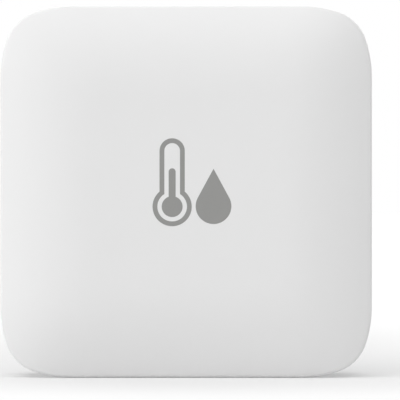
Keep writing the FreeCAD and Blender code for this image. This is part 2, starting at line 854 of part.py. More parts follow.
def make_battery_door():
    """The bayonet disc in the back, with a coin slot and a recess for the adhesive pad."""
    body = new_body("battery_door")
    disc = Drawing(body, "disc_outline", "XZ_Plane", door_front).circle(0, 0, door_radius)
    pad(disc, "disc", s.door_thickness)
    island_length = s.coin_slot_length + 2 * s.island_margin
    island_width = s.coin_slot_width + 2 * s.island_margin
    boss = Drawing(body, "slot_boss_outline", "XZ_Plane", door_front - s.boss_under_slot)
    boss.stadium(0, 0, island_length + 2 * s.island_margin, island_width + s.island_margin)
    pad(boss, "slot_boss", s.boss_under_slot)
    recess = Drawing(body, "pad_recess_outline", "XZ_Plane", pad_front)
    recess.circle(0, 0, pad_recess_radius)
    recess.stadium(0, 0, island_length, island_width)
    pocket(recess, "pad_recess", s.pad_recess)
    slot = Drawing(body, "coin_slot_outline", "XZ_Plane", back_face - s.coin_slot_depth)
    slot.stadium(0, 0, s.coin_slot_length, s.coin_slot_width)
    pocket(slot, "coin_slot", s.coin_slot_depth)

    section = [(post_inner_radius, lug_front), (lug_radius, lug_front), (lug_radius, lug_back),
               (post_outer_radius, lug_back), (post_outer_radius, door_front),
               (post_inner_radius, door_front)]
    turn = s.lock_angle + s.lug_angle / 2
    lug = revolve(half_section(body, "lug_section", section, turn), "lug", s.lug_angle)
    polar_copies(body, "lugs", [lug], s.lug_count)

    # A small triangle near the rim points at the lock mark beside it
    mark = Drawing(body, "mark_outline", "XZ_Plane", back_face - s.mark_depth)
    tip = door_radius - (s.pad_rim - s.mark_triangle) / 2
    foot = tip - s.mark_triangle
    side = s.mark_triangle / 2
    along_x, along_z = cosine(s.mark_angle), sine(s.mark_angle)
    mark.polygon([(tip * along_x, tip * along_z),
                  (foot * along_x - side * along_z, foot * along_z + side * along_x),
                  (foot * along_x + side * along_z, foot * along_z - side * along_x)])
    pocket(mark, "mark", s.mark_depth)
    node(body, "battery_door")


def make_adhesive_pad():
    """The foam pad on the door, with a window round the coin slot."""
    body = new_body("adhesive_pad")
    drawing = Drawing(body, "pad_outline", "XZ_Plane", pad_front)
    drawing.circle(0, 0, pad_recess_radius - s.pad_play)
    drawing.stadium(0, 0, s.coin_slot_length + 2 * s.island_margin + 2 * s.pad_play,
                    s.coin_slot_width + 2 * s.island_margin + 2 * s.pad_play)
    pad(drawing, "pad", s.pad_thickness)
    node(body, "adhesive_pad")


def make_function_button():
    """The pill shaped key, with a flange inside the wall and a nub over the switch."""
    body = new_body("function_button")
    cap = Drawing(body, "cap_outline", "XY_Plane", button_flange_top)
    cap.stadium(0, button_depth, s.button_length, s.button_width)
    pad(cap, "cap", half_body - s.button_recess - button_flange_top)
    flange = Drawing(body, "flange_outline", "XY_Plane", button_flange_bottom)
    flange.stadium(0, button_depth, s.button_length + 2 * s.button_flange, s.button_width + s.button_flange)
    pad(flange, "flange", s.button_flange_thickness)
    nub_bottom = plunger_top + s.button_nub_play
    nub = Drawing(body, "nub_outline", "XY_Plane", nub_bottom)
    nub.rectangle(-(s.button_nub_width / 2), s.button_nub_width / 2,
                  button_depth - s.plunger_depth / 2, button_depth + s.plunger_depth / 2)
    pad(nub, "nub", button_flange_bottom - nub_bottom)
    node(body, "function_button")


def make_light_pipe():
    """The clear pin that carries the status light to the top wall."""
    body = new_body("light_pipe")
    pin = Drawing(body, "pin_outline", "XY_Plane", switch_top)
    pin.circle(light_across, button_depth, s.light_radius)
    pad(pin, "pin", half_body - s.light_recess - switch_top)
    flange = Drawing(body, "flange_outline", "XY_Plane", inner_half - s.light_flange_thickness)
    flange.circle(light_across, button_depth, s.light_radius + s.light_flange)
    pad(flange, "flange", s.light_flange_thickness)
    node(body, "light_pipe")


def make_switch():
    """The side-push switch: body, folded metal cover and the plunger that moves in it."""
    left, right = -(s.switch_width / 2), s.switch_width / 2
    top = board_back + s.switch_height
    reach = s.plunger_width / 2 + s.plunger_play
    front = button_depth - s.plunger_depth / 2
    back = button_depth + s.plunger_depth / 2
    shell = block("switch_block", (left, board_back, switch_top - s.switch_length), (right, top, switch_top))
    cavity_bottom = plunger_bottom - s.button_travel - s.plunger_room
    cavity = block("switch_cavity", (-reach, front - s.plunger_play, cavity_bottom),
                   (reach, back + s.plunger_play, switch_top + OVERCUT))
    node(difference("switch_body", shell, cavity), "switch_body")

    body = new_body("switch_cover")
    sheet = s.switch_sheet
    section = [(left - sheet, board_back), (left, board_back), (left, top), (right, top), (right, board_back),
               (right + sheet, board_back), (right + sheet, top + sheet), (left - sheet, top + sheet)]
    length = s.switch_length - 2 * sheet
    cover = Drawing(body, "cover_section", "XY_Plane", switch_top - s.switch_length + sheet).polygon(section)
    pad(cover, "cover", length)
    node(body, "switch_cover")

    block_node("switch_plunger", (-(s.plunger_width / 2), front, plunger_bottom),
               (s.plunger_width / 2, back, plunger_top))


def make_status_led():
    """The side-firing light under the light pipe."""
    top = switch_top - s.light_gap
    block_node("status_led", (light_across - s.led_width / 2, board_back, top - s.led_length),
               (light_across + s.led_width / 2, board_back + s.led_height, top))


def make_circuit_board():
    """The main board: notched at the top, drilled for posts, slotted round the sensing chip."""
    body = new_body("circuit_board")
    outline = Drawing(body, "board_outline", "XZ_Plane", board_front).body_outline(s.board_inset)
    pad(outline, "board", s.board_thickness)
    notch = Drawing(body, "notch_outline", "XZ_Plane", board_front)
    notch.rectangle(opening_left - OVERCUT, opening_right + OVERCUT, board_notch_bottom, half_body)
    pocket(notch, "notch", s.board_thickness)
    holes = Drawing(body, "hole_outline", "XZ_Plane", board_front)
    for side in (-1, 1):
        for level in (-1, 1):
            radius = s.screw_hole_radius if side * level < 0 else s.peg_radius + s.peg_play
            holes.circle(side * boss_across, level * boss_up, radius)
    pocket(holes, "holes", s.board_thickness)

    # Slots beside and above the sensing chip keep the board's own heat away from it
    slots = Drawing(body, "slot_outline", "XZ_Plane", board_front)
    reach = s.chip_size / 2 + s.slot_gap + s.slot_width / 2
    for side in (-1, 1):
        slots.stadium(side * reach, chip_up, s.chip_size + s.slot_width, s.slot_width, upright=True)
    pocket(slots, "slots", s.board_thickness)
    node(body, "circuit_board")


def make_sensing_chip():
    """The temperature and humidity chip, with its port facing back."""
    half = s.chip_size / 2
    top = board_back + s.chip_height
    base = block("chip_block", (-half, board_back, chip_up - half), (half, top, chip_up + half))
    port = cylinder("chip_port", 0, chip_up, top - s.chip_port_depth, top + OVERCUT, s.chip_port_radius)
    node(difference("temperature_humidity_chip", base, port), "temperature_humidity_chip")


def make_radio():
    """The radio module: its board, shield can, chips and printed antenna."""
    left = radio_across - s.radio_width / 2
    right = radio_across + s.radio_width / 2
    low = radio_up - s.radio_length / 2
    high = radio_up + s.radio_length / 2
    front = board_front - s.radio_board_thickness

    body = new_body("radio_board")
    module = Drawing(body, "module_outline", "XZ_Plane", front).rectangle(left, right, low, high)
    pad(module, "module", s.radio_board_thickness)
    bites = Drawing(body, "castellation_outline", "XZ_Plane", front)
    first_up = low + s.castellation_pitch
    for edge in (left, right):
        bites.circle(edge, first_up, s.castellation_radius)
    bite = pocket(bites, "castellation", s.radio_board_thickness)
    row_copies(body, "castellations", [bite], "Z_Axis", s.castellation_pitch, s.castellation_count)
    node(body, "radio_board")

    shield_left, shield_right = left + s.shield_margin, right - s.shield_margin
    shield_low, shield_high = low + s.shield_margin, high - s.antenna_length - s.shield_margin
    width = shield_right - shield_left
    length = shield_high - shield_low
    centre_up = (shield_low + shield_high) / 2
    shield_front = front - s.shield_height
    body = new_body("radio_shield")
    can = Drawing(body, "can_outline", "XZ_Plane", shield_front)
    can.rounded_rectangle(radio_across, centre_up, width, length, s.shield_corner)
    pad(can, "can", s.shield_height)
    inside = Drawing(body, "inside_outline", "XZ_Plane", shield_front + s.shield_sheet)
    inside_width = width - 2 * s.shield_sheet
    inside_length = length - 2 * s.shield_sheet
    inside.rounded_rectangle(radio_across, centre_up, inside_width, inside_length,
                             s.shield_corner - s.shield_sheet)
    pocket(inside, "inside", s.shield_height - s.shield_sheet)
    node(body, "radio_shield")

    radio_chip_up = centre_up - s.radio_chip_size / 4
    front_block("radio_chip", front, (radio_across, radio_chip_up),
                (s.radio_chip_size, s.radio_chip_size, s.radio_chip_height))
    crystal_up = radio_chip_up + s.radio_chip_size / 2 + s.crystal_gap + s.crystal_length / 2
    front_block("radio_crystal", front, (radio_across, crystal_up),
                (s.crystal_width, s.crystal_length, s.crystal_height))
    make_antenna(front, high)


def make_antenna(front, module_top):
    """The printed antenna: one copper line that folds up and down across the module's end."""
    body = new_body("antenna_trace")
    reach = s.trace_pitch * s.trace_turns / 2
    low = module_top - s.antenna_length / 2 - s.trace_height / 2
    high = low + s.trace_height
    route = []
    for turn in range(int(s.trace_turns.value) + 1):
        across = radio_across - reach + s.trace_pitch * turn
        levels = (low, high) if turn % 2 == 0 else (high, low)
        route += [(across, level) for level in levels]
    left_side, right_side = line_sides(route, s.trace_width / 2)
    drawing = Drawing(body, "trace_outline", "XZ_Plane", front - s.trace_thickness)
    pad(drawing.polygon(left_side + right_side[::-1]), "trace", s.trace_thickness)
    node(body, "antenna_trace")


def line_sides(route, reach):
    """The two sides of a line with square bends that runs along a route."""
    steps = []
    for (x1, y1), (x2, y2) in zip(route, route[1:]):
        steps.append((compare(x1.value, x2.value), compare(y1.value, y2.value)))
    sides = ([], [])
    for number, (across, up) in enumerate(route):
        before = steps[number - 1] if number > 0 else (0, 0)
        after = steps[number] if number < len(steps) else (0, 0)
        offset_x = -(before[1] + after[1])
        offset_y = before[0] + after[0]
        sides[0].append((across + offset_x * reach, up + offset_y * reach))
        sides[1].append((across - offset_x * reach, up - offset_y * reach))
    return sides


def compare(start, end):
    """One, zero or minus one, as a number rises, stays or falls."""
    return (end > start + 1e-9) - (end < start - 1e-9)


def make_battery_holder():
    """The round tray on the back of the board, with two spring hooks over the cell."""
    body = new_body("battery_holder")
    ring_piece(body, "floor", (holder_outer_radius - s.holder_floor_width, holder_outer_radius),
               (board_back, cell_front))
    ring_piece(body, "wall", (holder_inner_radius, holder_outer_radius), (board_back, holder_top))
    gap = Drawing(body, "contact_gap_outline", "XZ_Plane", board_back)
    gap.rectangle(-holder_outer_radius - OVERCUT, -(holder_outer_radius - s.holder_floor_width) + OVERCUT * 2,
                  -(s.holder_gap_width / 2), s.holder_gap_width / 2)
    pocket(gap, "contact_gap", holder_top - board_back + OVERCUT)

    # The free stretches between the door's posts hold two hooks and a finger notch
    ring_piece(body, "finger_notch", (holder_inner_radius - OVERCUT, holder_outer_radius + OVERCUT),
               (holder_top - s.finger_notch_depth, holder_top + OVERCUT),
               free_angle + 2 * lug_spacing, s.finger_notch_angle, cut=True)
    nose_front = cell_back + s.hook_play
    hook_back = door_front - s.hook_door_gap
    nose_radius = holder_inner_radius - s.hook_reach
    lead = (hook_back - nose_front) / 2
    section = [(holder_inner_radius, holder_top - OVERCUT), (post_outer_radius, holder_top - OVERCUT),
               (post_outer_radius, hook_back), (nose_radius + lead * 2, hook_back),
               (nose_radius, nose_front + lead), (nose_radius, nose_front), (holder_inner_radius, nose_front)]
    for number in range(2):
        turn = free_angle + number * lug_spacing + s.hook_angle / 2
        drawing = half_section(body, f"hook_section_{number + 1}", section, turn)
        revolve(drawing, f"hook_{number + 1}", s.hook_angle)
    node(body, "battery_holder")


def make_contacts():
    """The strip that touches the cell's side and the spring that touches its front cap."""
    sheet = s.contact_sheet
    touch = -(cell_radius + s.contact_play)
    body = new_body("positive_contact")
    section = [(touch, board_back), (touch, holder_top - OVERCUT), (touch - sheet, holder_top - OVERCUT),
               (touch - sheet, board_back + sheet), (touch - s.contact_foot, board_back + sheet),
               (touch - s.contact_foot, board_back)]
    strip = Drawing(body, "strip_section", "XY_Plane", -(s.contact_width / 2)).polygon(section)
    pad(strip, "strip", s.contact_width)
    node(body, "positive_contact")

    body = new_body("negative_contact")
    leaf = s.holder_floor - s.contact_play
    top = board_back + leaf
    sheet = s.spring_sheet
    crest, span, foot = s.spring_top / 2, s.spring_span / 2, s.spring_foot
    upper = [(span, board_back + sheet), (span - foot, board_back + sheet), (crest, top)]
    lower = [(span, board_back), (span - foot + sheet, board_back), (crest + sheet, top - sheet)]
    section = (lower + [(-across, depth) for across, depth in lower[::-1]]
               + [(-across, depth) for across, depth in upper] + upper[::-1])
    spring = Drawing(body, "spring_section", "XY_Plane", -(s.spring_width / 2)).polygon(section)
    pad(spring, "spring", s.spring_width)
    node(body, "negative_contact")


def make_coin_cell():
    """The coin cell: can, gasket, cap and the filling between them."""
    sheet = s.cell_sheet
    cap_radius = cell_radius - s.cell_cap_setback
    gasket_radius = cap_radius + s.cell_gasket_width
    wall_inner = cell_radius - sheet
    crimp_back = cell_front + s.cell_crimp_drop
    cap_back = cell_front + s.cell_thickness / 2
    floor = cell_back - sheet

    body = new_body("coin_cell_can")
    can = [(0, floor), (wall_inner, floor), (wall_inner, crimp_back + sheet),
           (gasket_radius, cell_front + 2 * sheet), (gasket_radius, cell_front + sheet),
           (wall_inner, cell_front + sheet), (cell_radius, crimp_back),
           (cell_radius, cell_back), (0, cell_back)]
    revolve(half_section(body, "can_section", can), "can")
    node(body, "coin_cell_can")

    body = new_body("coin_cell_cap")
    cap = [(0, cell_front), (cap_radius, cell_front), (cap_radius, cap_back), (cap_radius - sheet, cap_back),
           (cap_radius - sheet, cell_front + sheet), (0, cell_front + sheet)]
    revolve(half_section(body, "cap_section", cap), "cap")
    node(body, "coin_cell_cap")

    body = new_body("coin_cell_gasket")
    gasket = [(cap_radius, cell_front + sheet), (gasket_radius, cell_front + sheet),
              (gasket_radius, cell_front + 2 * sheet), (wall_inner, crimp_back + sheet),
              (wall_inner, cap_back + sheet), (cap_radius - sheet, cap_back + sheet),
              (cap_radius - sheet, cap_back), (cap_radius, cap_back)]
    revolve(half_section(body, "gasket_section", gasket), "gasket")
    node(body, "coin_cell_gasket")

    body = new_body("coin_cell_core")
    core_radius = cap_radius - sheet
    core = [(0, cell_front + sheet), (core_radius, cell_front + sheet), (core_radius, cap_back + sheet),
            (wall_inner, cap_back + sheet), (wall_inner, floor), (0, floor)]
    revolve(half_section(body, "core_section", core), "core")
    node(body, "coin_cell_core")


def make_board_screws():
    """The two screws that hold the board on its posts, put in from the front."""
    for side, level, place in ((-1, 1, "left"), (1, -1, "right")):
        across, up = side * boss_across, level * boss_up
        body = new_body(f"board_screw_{place}")
        head_front = board_front - s.screw_head_height
        head = Drawing(body, "head_outline", "XZ_Plane", head_front).circle(across, up, s.screw_head_radius)
        pad(head, "head", s.screw_head_height)
        shank = Drawing(body, "shank_outline", "XZ_Plane", board_front).circle(across, up, s.screw_radius)
        pad(shank, "shank", s.screw_length)
        cross = Drawing(body, "cross_outline", "XZ_Plane", head_front)
        arm, half = s.screw_slot_reach, s.screw_slot_width / 2
        cross.polygon([(across + x, up + y) for x, y in (
            (half, half), (half, arm), (-half, arm), (-half, half), (-arm, half), (-arm, -half),
            (-half, -half), (-half, -arm), (half, -arm), (half, -half), (arm, -half), (arm, half))])
        pocket(cross, "cross", s.screw_slot_depth)
        node(body, f"board_screw_{place}")


def make_small_parts():
    """The capacitor that steadies the radio's supply, and the rows of small chips."""
    front_block("reservoir_capacitor", board_front,
                (half_body - s.reservoir_side_inset, half_body - s.reservoir_top_inset),
                (s.reservoir_width, s.reservoir_length, s.reservoir_height))
    row_up = s.small_part_bottom_inset - half_body
    row_length = s.small_part_pitch * (SMALL_PARTS_EACH - 1)
    first_resistor = half_body - s.resistor_side_inset - row_length
    first_capacitor = s.capacitor_side_inset - half_body
    for number in range(SMALL_PARTS_EACH):
        along = s.small_part_pitch * number
        front_block(f"chip_resistor_{number + 1}", board_front, (first_resistor + along, row_up),
                    (s.chip_part_length, s.chip_part_width, s.resistor_height))
        front_block(f"chip_capacitor_{number + 1}", board_front, (first_capacitor + along, row_up),
                    (s.chip_part_length, s.chip_part_width, s.capacitor_height))


def check_model():
    """Stop if any object failed or any cut removed nothing."""
    for item in doc.Objects:
        if "Invalid" in item.State or "Error" in item.State:
            raise RuntimeError(f"{item.Name} failed: {item.State}")
    for feature in CUTS:
        if feature.BaseFeature.Shape.Volume - feature.Shape.Volume < 1e-3:
            raise RuntimeError(f"{feature.Name} of {feature.getParentGeoFeatureGroup().Name} removed nothing")
    for item in NODES:
        if item.Shape.isNull() or not item.Shape.isValid():
            raise RuntimeError(f"{item.Label} has no valid shape")


def write_parts():
    """Write one STEP file for each sub-part and print its size."""
    os.makedirs("parts", exist_ok=True)
    for item in NODES:
        item.Shape.exportStep(f"parts/{item.Label}.step")
        box = item.Shape.BoundBox
        print(f"{item.Label}: {len(item.Shape.Solids)} solid, volume {item.Shape.Volume:.2f}, "
              f"box {box.XLength:.2f} x {box.YLength:.2f} x {box.ZLength:.2f}")


def main():
    """Build every sub-part, check the model and write it."""
    make_front_cover()
    make_rear_housing()
    make_battery_door()
    make_adhesive_pad()
    make_function_button()
    make_light_pipe()
    make_switch()
    make_status_led()
    make_circuit_board()
    make_sensing_chip()
    make_radio()
    make_battery_holder()
    make_contacts()
    make_coin_cell()
    make_board_screws()
    make_small_parts()
    doc.recompute()
    check_model()
    write_parts()


main()
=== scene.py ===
"""Looks of a square temperature and humidity sensor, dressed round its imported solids.

Sizes are in millimetres and are turned to metres where a mesh or a node takes them. A depth
is measured from the front face to the back, and a height from the middle of the face upwards.
"""

from __future__ import annotations

import json
import logging
import math
from dataclasses import dataclass, field
from enum import Enum
from functools import partialmethod
from typing import Any, Iterable, Sequence

import bmesh
import bpy
from mathutils import Matrix, Vector

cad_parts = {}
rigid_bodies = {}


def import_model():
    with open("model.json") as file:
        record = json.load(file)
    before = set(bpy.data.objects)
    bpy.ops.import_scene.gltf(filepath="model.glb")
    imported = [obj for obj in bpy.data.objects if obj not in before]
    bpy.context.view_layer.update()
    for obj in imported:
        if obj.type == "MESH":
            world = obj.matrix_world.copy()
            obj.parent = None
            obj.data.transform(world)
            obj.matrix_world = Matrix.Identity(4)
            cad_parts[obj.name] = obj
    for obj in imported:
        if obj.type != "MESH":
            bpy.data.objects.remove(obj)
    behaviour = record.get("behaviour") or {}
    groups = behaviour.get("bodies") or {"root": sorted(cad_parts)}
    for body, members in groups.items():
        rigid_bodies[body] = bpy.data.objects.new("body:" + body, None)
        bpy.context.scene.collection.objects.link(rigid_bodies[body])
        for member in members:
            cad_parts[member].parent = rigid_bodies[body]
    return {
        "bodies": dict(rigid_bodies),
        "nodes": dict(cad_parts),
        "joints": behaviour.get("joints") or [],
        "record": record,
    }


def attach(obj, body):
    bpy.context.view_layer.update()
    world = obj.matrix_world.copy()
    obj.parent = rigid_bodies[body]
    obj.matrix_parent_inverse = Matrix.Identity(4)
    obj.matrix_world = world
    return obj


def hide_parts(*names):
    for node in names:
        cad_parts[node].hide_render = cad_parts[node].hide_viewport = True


LOG = logging.getLogger("sensor")
MM = 0.001
Colour = tuple[float, float, float]
Point = tuple[float, float, float]
Loop = list[tuple[float, float]]
Object = bpy.types.Object
Mesh = bpy.types.Mesh
Material = bpy.types.Material

# Angles between faces in degrees: below the flat angle they become one face, above the bevel
# angle their edge is rounded, and above the smoothing angles it stays sharp
FLAT_ANGLE = 0.4
BEVEL_ANGLE = 32.0
COPY_SMOOTHING = 40.0
SMOOTHING = 35.0


# Node trees

class Wire:
    """One output socket of a node tree, which takes part in Python expressions."""

    def __init__(self, sheet: NodeSheet, socket: bpy.types.NodeSocket) -> None:
        """Keep the socket with the tree that it belongs to."""
        self.sheet = sheet
        self.socket = socket

    def math(self, operation: str, *values: Any) -> Wire:
        """Put this wire and other values through a Math node.

        Args:
            operation: The operation of the node.
            values: The wires or numbers after this one.

        Returns:
            The node's output.
        """
        inputs = dict(enumerate((self, *values)))
        return self.sheet.node("ShaderNodeMath", {"operation": operation}, inputs)

    __add__ = partialmethod(math, "ADD")
    __sub__ = partialmethod(math, "SUBTRACT")
    __mul__ = partialmethod(math, "MULTIPLY")
    __truediv__ = partialmethod(math, "DIVIDE")
    __mod__ = partialmethod(math, "MODULO")
    __lt__ = partialmethod(math, "LESS_THAN")
    __gt__ = partialmethod(math, "GREATER_THAN")

    def __rsub__(self, other: float) -> Wire:
        """Difference of a number and this wire."""
        return self * -1.0 + other


class NodeSheet:
    """A node tree that is written node by node."""

    def __init__(self, tree: bpy.types.NodeTree) -> None:
        """Empty the tree and keep it."""
        self.tree = tree
        tree.nodes.clear()

    def node(self, kind: str, settings: dict[str, Any] | None = None,
             inputs: dict[int | str, Any] | None = None, output: int | str = 0) -> Wire:
        """Add a node, set it and connect it.

        Args:
            kind: The node's type.
            settings: Its properties.
            inputs: A wire or a value for each of its sockets, by number or name.
            output: The output that is used.

        Returns:
            That output.
        """
        made = self.tree.nodes.new(kind)
        for key, value in (settings or {}).items():
            setattr(made, key, value)
        for key, value in (inputs or {}).items():
            if isinstance(value, Wire):
                self.tree.links.new(value.socket, made.inputs[key])
            else:
                made.inputs[key].default_value = value
        return Wire(self, made.outputs[output])

    def put_out(self, value: Wire, kind: str, socket: int | str = "Surface") -> None:
        """Connect a wire to a new output node of that kind."""
        target = self.tree.nodes.new(kind)
        self.tree.links.new(value.socket, target.inputs[socket])


class ShaderSheet(NodeSheet):
    """The node tree of one material."""

    def __init__(self, name: str) -> None:
        """Start a material.

        Args:
            name: The name of the material.
        """
        self.material = bpy.data.materials.new(name)
        self.material.use_nodes = True
        super().__init__(self.material.node_tree)
        self.place = self.node("ShaderNodeTexCoord", output="Object")

    def noise(self, size: float, detail: float, stretch: Point = (1, 1, 1)) -> Wire:
        """A cloudy pattern from 0 to 1 whose spots are about a size in millimetres.

        Args:
            size: The size of a spot.
            detail: The number of finer layers.
            stretch: How much faster the pattern changes along each axis.

        Returns:
            The pattern.
        """
        place = self.node("ShaderNodeMapping", {}, {"Vector": self.place, "Scale": stretch})
        return self.node("ShaderNodeTexNoise", {}, {
            "Vector": place, "Scale": 1 / (size * MM), "Detail": detail, "Roughness": 0.55})

    def cells(self, size: float) -> Wire:
        """The distance to the middle of irregular cells of a size in millimetres."""
        return self.node("ShaderNodeTexVoronoi", {"feature": "F1"}, {
            "Vector": self.place, "Scale": 1 / (size * MM)})

    def ramp(self, value: Wire, stops: Sequence[tuple[float, float]]) -> Wire:
        """Turn a value into a grey.

        Args:
            value: The value from 0 to 1.
            stops: The place and the level of each stop between them.

        Returns:
            The grey.
        """
        grey = self.node("ShaderNodeValToRGB", {}, {"Fac": value})
        elements = grey.socket.node.color_ramp.elements
        while len(elements) < len(stops):
            elements.new(1.0)
        for element, (place, level) in zip(elements, stops):
            element.position = place
            element.color = (level, level, level, 1.0)
        return grey

    def surface(self, colour: Colour, tone: Wire, shares: tuple[float, float], roughness: Wire,
                relief: Wire, depth: float, **constants: float) -> Material:
        """End the tree in a Principled shader with a varied colour and a relief.

        Args:
            colour: The plain colour.
            tone: The pattern of the colour, from 0 to 1.
            shares: The shares of the colour where the pattern is 0 and 1.
            roughness: The roughness.
            relief: The pattern of the relief, from 0 to 1.
            depth: How deep the relief is, in millimetres.
            constants: A value for each other input, with underscores in its name for spaces.

        Returns:
            The material.
        """
        dark, light = [(*(share * part for part in colour), 1.0) for share in shares]
        base = self.node("ShaderNodeMix", {"data_type": "RGBA"}, {"Factor": tone, 6: dark, 7: light},
                         output=2)
        normal = self.node("ShaderNodeBump", {}, {"Height": relief, "Distance": depth * MM})
        others = {name.replace("_", " "): value for name, value in constants.items()}
        return self.end(self.node("ShaderNodeBsdfPrincipled", {}, {
            "Base Color": base, "Roughness": roughness, "Normal": normal, **others}))

    def end(self, shader: Wire) -> Material:
        """End the tree in a shader."""
        self.put_out(shader, "ShaderNodeOutputMaterial")
        return self.material


class GeometrySheet(NodeSheet):
    """A Geometry Nodes tree with named inputs."""

    KINDS = {float: "NodeSocketFloat", int: "NodeSocketInt", Vector: "NodeSocketVector",
             Material: "NodeSocketMaterial"}

    def __init__(self, name: str, inputs: dict[str, type]) -> None:
        """Start a tree that takes a geometry and the named inputs.

        Args:
            name: The name of the tree.
            inputs: The kind of value of each named input.
        """
        super().__init__(bpy.data.node_groups.new(name, "GeometryNodeTree"))
        face = self.tree.interface
        face.new_socket("Geometry", in_out="INPUT", socket_type="NodeSocketGeometry")
        self.identifiers = {}
        for label, kind in inputs.items():
            socket = face.new_socket(label, in_out="INPUT", socket_type=self.KINDS[kind])
            self.identifiers[label] = socket.identifier
        face.new_socket("Geometry", in_out="OUTPUT", socket_type="NodeSocketGeometry")
        self.entry = self.tree.nodes.new("NodeGroupInput")

    def given(self, label: str) -> Wire:
        """The input of that name."""
        return Wire(self, self.entry.outputs[label])

    def whole(self, value: Wire) -> Wire:
        """A number rounded to a whole one."""
        return self.node("FunctionNodeFloatToInt", {"rounding_mode": "ROUND"}, {0: value})

    def finish(self, geometry: Wire) -> None:
        """Realize the instances, set the material and end the tree.

        Args:
            geometry: What the tree gives before that.
        """
        real = self.node("GeometryNodeRealizeInstances", {}, {0: geometry})
        dressed = self.node("GeometryNodeSetMaterial", {}, {
            "Geometry": real, "Material": self.given("Material")})
        self.put_out(dressed, "NodeGroupOutput", 0)

    def run(self, piece: Object, values: dict[str, Any]) -> None:
        """Put the tree on an object, set its inputs and keep the plain mesh that it gives.

        Args:
            piece: The object, whose mesh is the tree's geometry.
            values: A value for each named input.
        """
        modifier = piece.modifiers.new("tree", "NODES")
        modifier.node_group = self.tree
        for label, value in values.items():
            modifier[self.identifiers[label]] = value
        settle(piece)


# Meshes

def new_piece(name: str, mesh: Mesh) -> Object:
    """Put a mesh in the scene as an object at the origin.

    Args:
        name: The name of the object.
        mesh: Its mesh.

    Returns:
        The object.
    """
    piece = bpy.data.objects.new(name, mesh)
    bpy.context.scene.collection.objects.link(piece)
    return piece


def settle(piece: Object) -> None:
    """Turn what an object's modifiers give into its own plain mesh.

    Args:
        piece: The object.
    """
    graph = bpy.context.evaluated_depsgraph_get()
    mesh = bpy.data.meshes.new_from_object(piece.evaluated_get(graph))
    mesh.name = piece.name
    piece.modifiers.clear()
    piece.data = mesh


def face_outwards(mesh: Mesh, merge: float = 1e-7) -> None:
    """Merge doubled points of a closed mesh and turn its faces outwards.

    Args:
        mesh: The mesh.
        merge: How near to each other doubled points lie, in metres.
    """
    work = bmesh.new()
    work.from_mesh(mesh)
    bmesh.ops.remove_doubles(work, verts=work.verts, dist=merge)
    bmesh.ops.recalc_face_normals(work, faces=work.faces)
    work.to_mesh(mesh)
    work.free()


def smooth(mesh: Mesh, angle: float = SMOOTHING) -> None:
    """Shade a mesh smooth apart from its edges sharper than an angle."""
    mesh.shade_smooth()
    mesh.set_sharp_from_angle(angle=math.radians(angle))


def even_shading(piece: Object) -> None:
    """Let large faces set the normals round them, so that flat walls look flat.

    Args:
        piece: The object.
    """
    weighted = piece.modifiers.new("normals", "WEIGHTED_NORMAL")
    weighted.keep_sharp = True
    weighted.weight = 50
    settle(piece)


def cut_away(piece: Object, cutters: Iterable[Object]) -> None:
    """Cut closed shapes out of a piece and delete them.

    Args:
        piece: The piece.
        cutters: The shapes.
    """
    cutters = list(cutters)
    for cutter in cutters:
        cut = piece.modifiers.new("cut", "BOOLEAN")
        cut.operation = "DIFFERENCE"
        cut.solver = "EXACT"
        cut.object = cutter
    settle(piece)
    for cutter in cutters:
        bpy.data.objects.remove(cutter)


def dress(piece: Object, material: Material) -> None:
    """Give an object one material."""
    piece.data.materials.clear()
    piece.data.materials.append(material)


@dataclass
class Profile:
    """The half section of a swept piece: inset from its outline, depth, and spread.

    The spread is 1 on the outline itself and 0 at the middle, where the sweep closes.
    """

    points: list[Point] = field(default_factory=list)

    def to(self, inset: float, depth: float, spread: float = 1.0) -> Profile:
        """Run straight to a point."""
        self.points.append((inset, depth, spread))
        return self

    def arc(self, centre: tuple[float, float], radius: float, start: float, end: float,
            steps: int) -> Profile:
        """Run along an arc. At 0 degrees it faces the front and at 90 the outline.

        Args:
            centre: The inset and depth of the arc's centre.
            radius: Its radius.
            start: The angle where it starts.
            end: The angle where it ends.
            steps: The number of its steps.

        Returns:
            The profile itself.
        """
        for number in range(steps + 1):
            turn = math.radians(start + (end - start) * number / steps)
            self.to(centre[0] - radius * math.sin(turn), centre[1] - radius * math.cos(turn))
        return self

    def mesh(self, name: str) -> Mesh:
        """The points as a bare mesh in metres, with the spread as their third value.

        Args:
            name: The name of the mesh.

        Returns:
            The mesh.
        """
        mesh = bpy.data.meshes.new(name)
        mesh.from_pydata([(inset * MM, depth * MM, spread) for inset, depth, spread in self.points], [], [])
        return mesh


@dataclass(frozen=True)
class Outline:
    """A rectangle whose corners bend softly, then tightly, then softly again.

    The reach is what a corner takes from each side. It and the radii lose the share shrink
    with each millimetre of inset. Steps is the number of points in each corner.
    """

    half_width: float
    half_height: float
    reach: float
    soft: float
    tight: float
    shrink: float
    steps: int

    @staticmethod
    def rounded(width: float, height: float, radius: float, steps: int) -> Outline:
        """A rectangle with round corners."""
        return Outline(width / 2, height / 2, radius, radius, radius, 1 / radius, steps)

    @staticmethod
    def stadium(width: float, height: float, steps: int) -> Outline:
        """A slot outline with round ends."""
        return Outline.rounded(width, height, min(width, height) / 2, steps)

    @staticmethod
    def circle(radius: float, steps: int) -> Outline:
        """A round outline."""
        return Outline.stadium(2 * radius, 2 * radius, steps)


class Facing(Enum):
    """Where the front of a swept piece looks, as its turn about the X axis in degrees."""

    FRONT = 0.0
    BOTTOM = 90.0
    TOP = -90.0


@dataclass(frozen=True)
class SweptForm:
    """A profile that runs round an outline, with a step across or up from each copy to the next."""

    profile: Profile
    outline: Outline
    facing: Facing = Facing.FRONT
    copies: int = 1
    across: float = 0.0
    up: float = 0.0


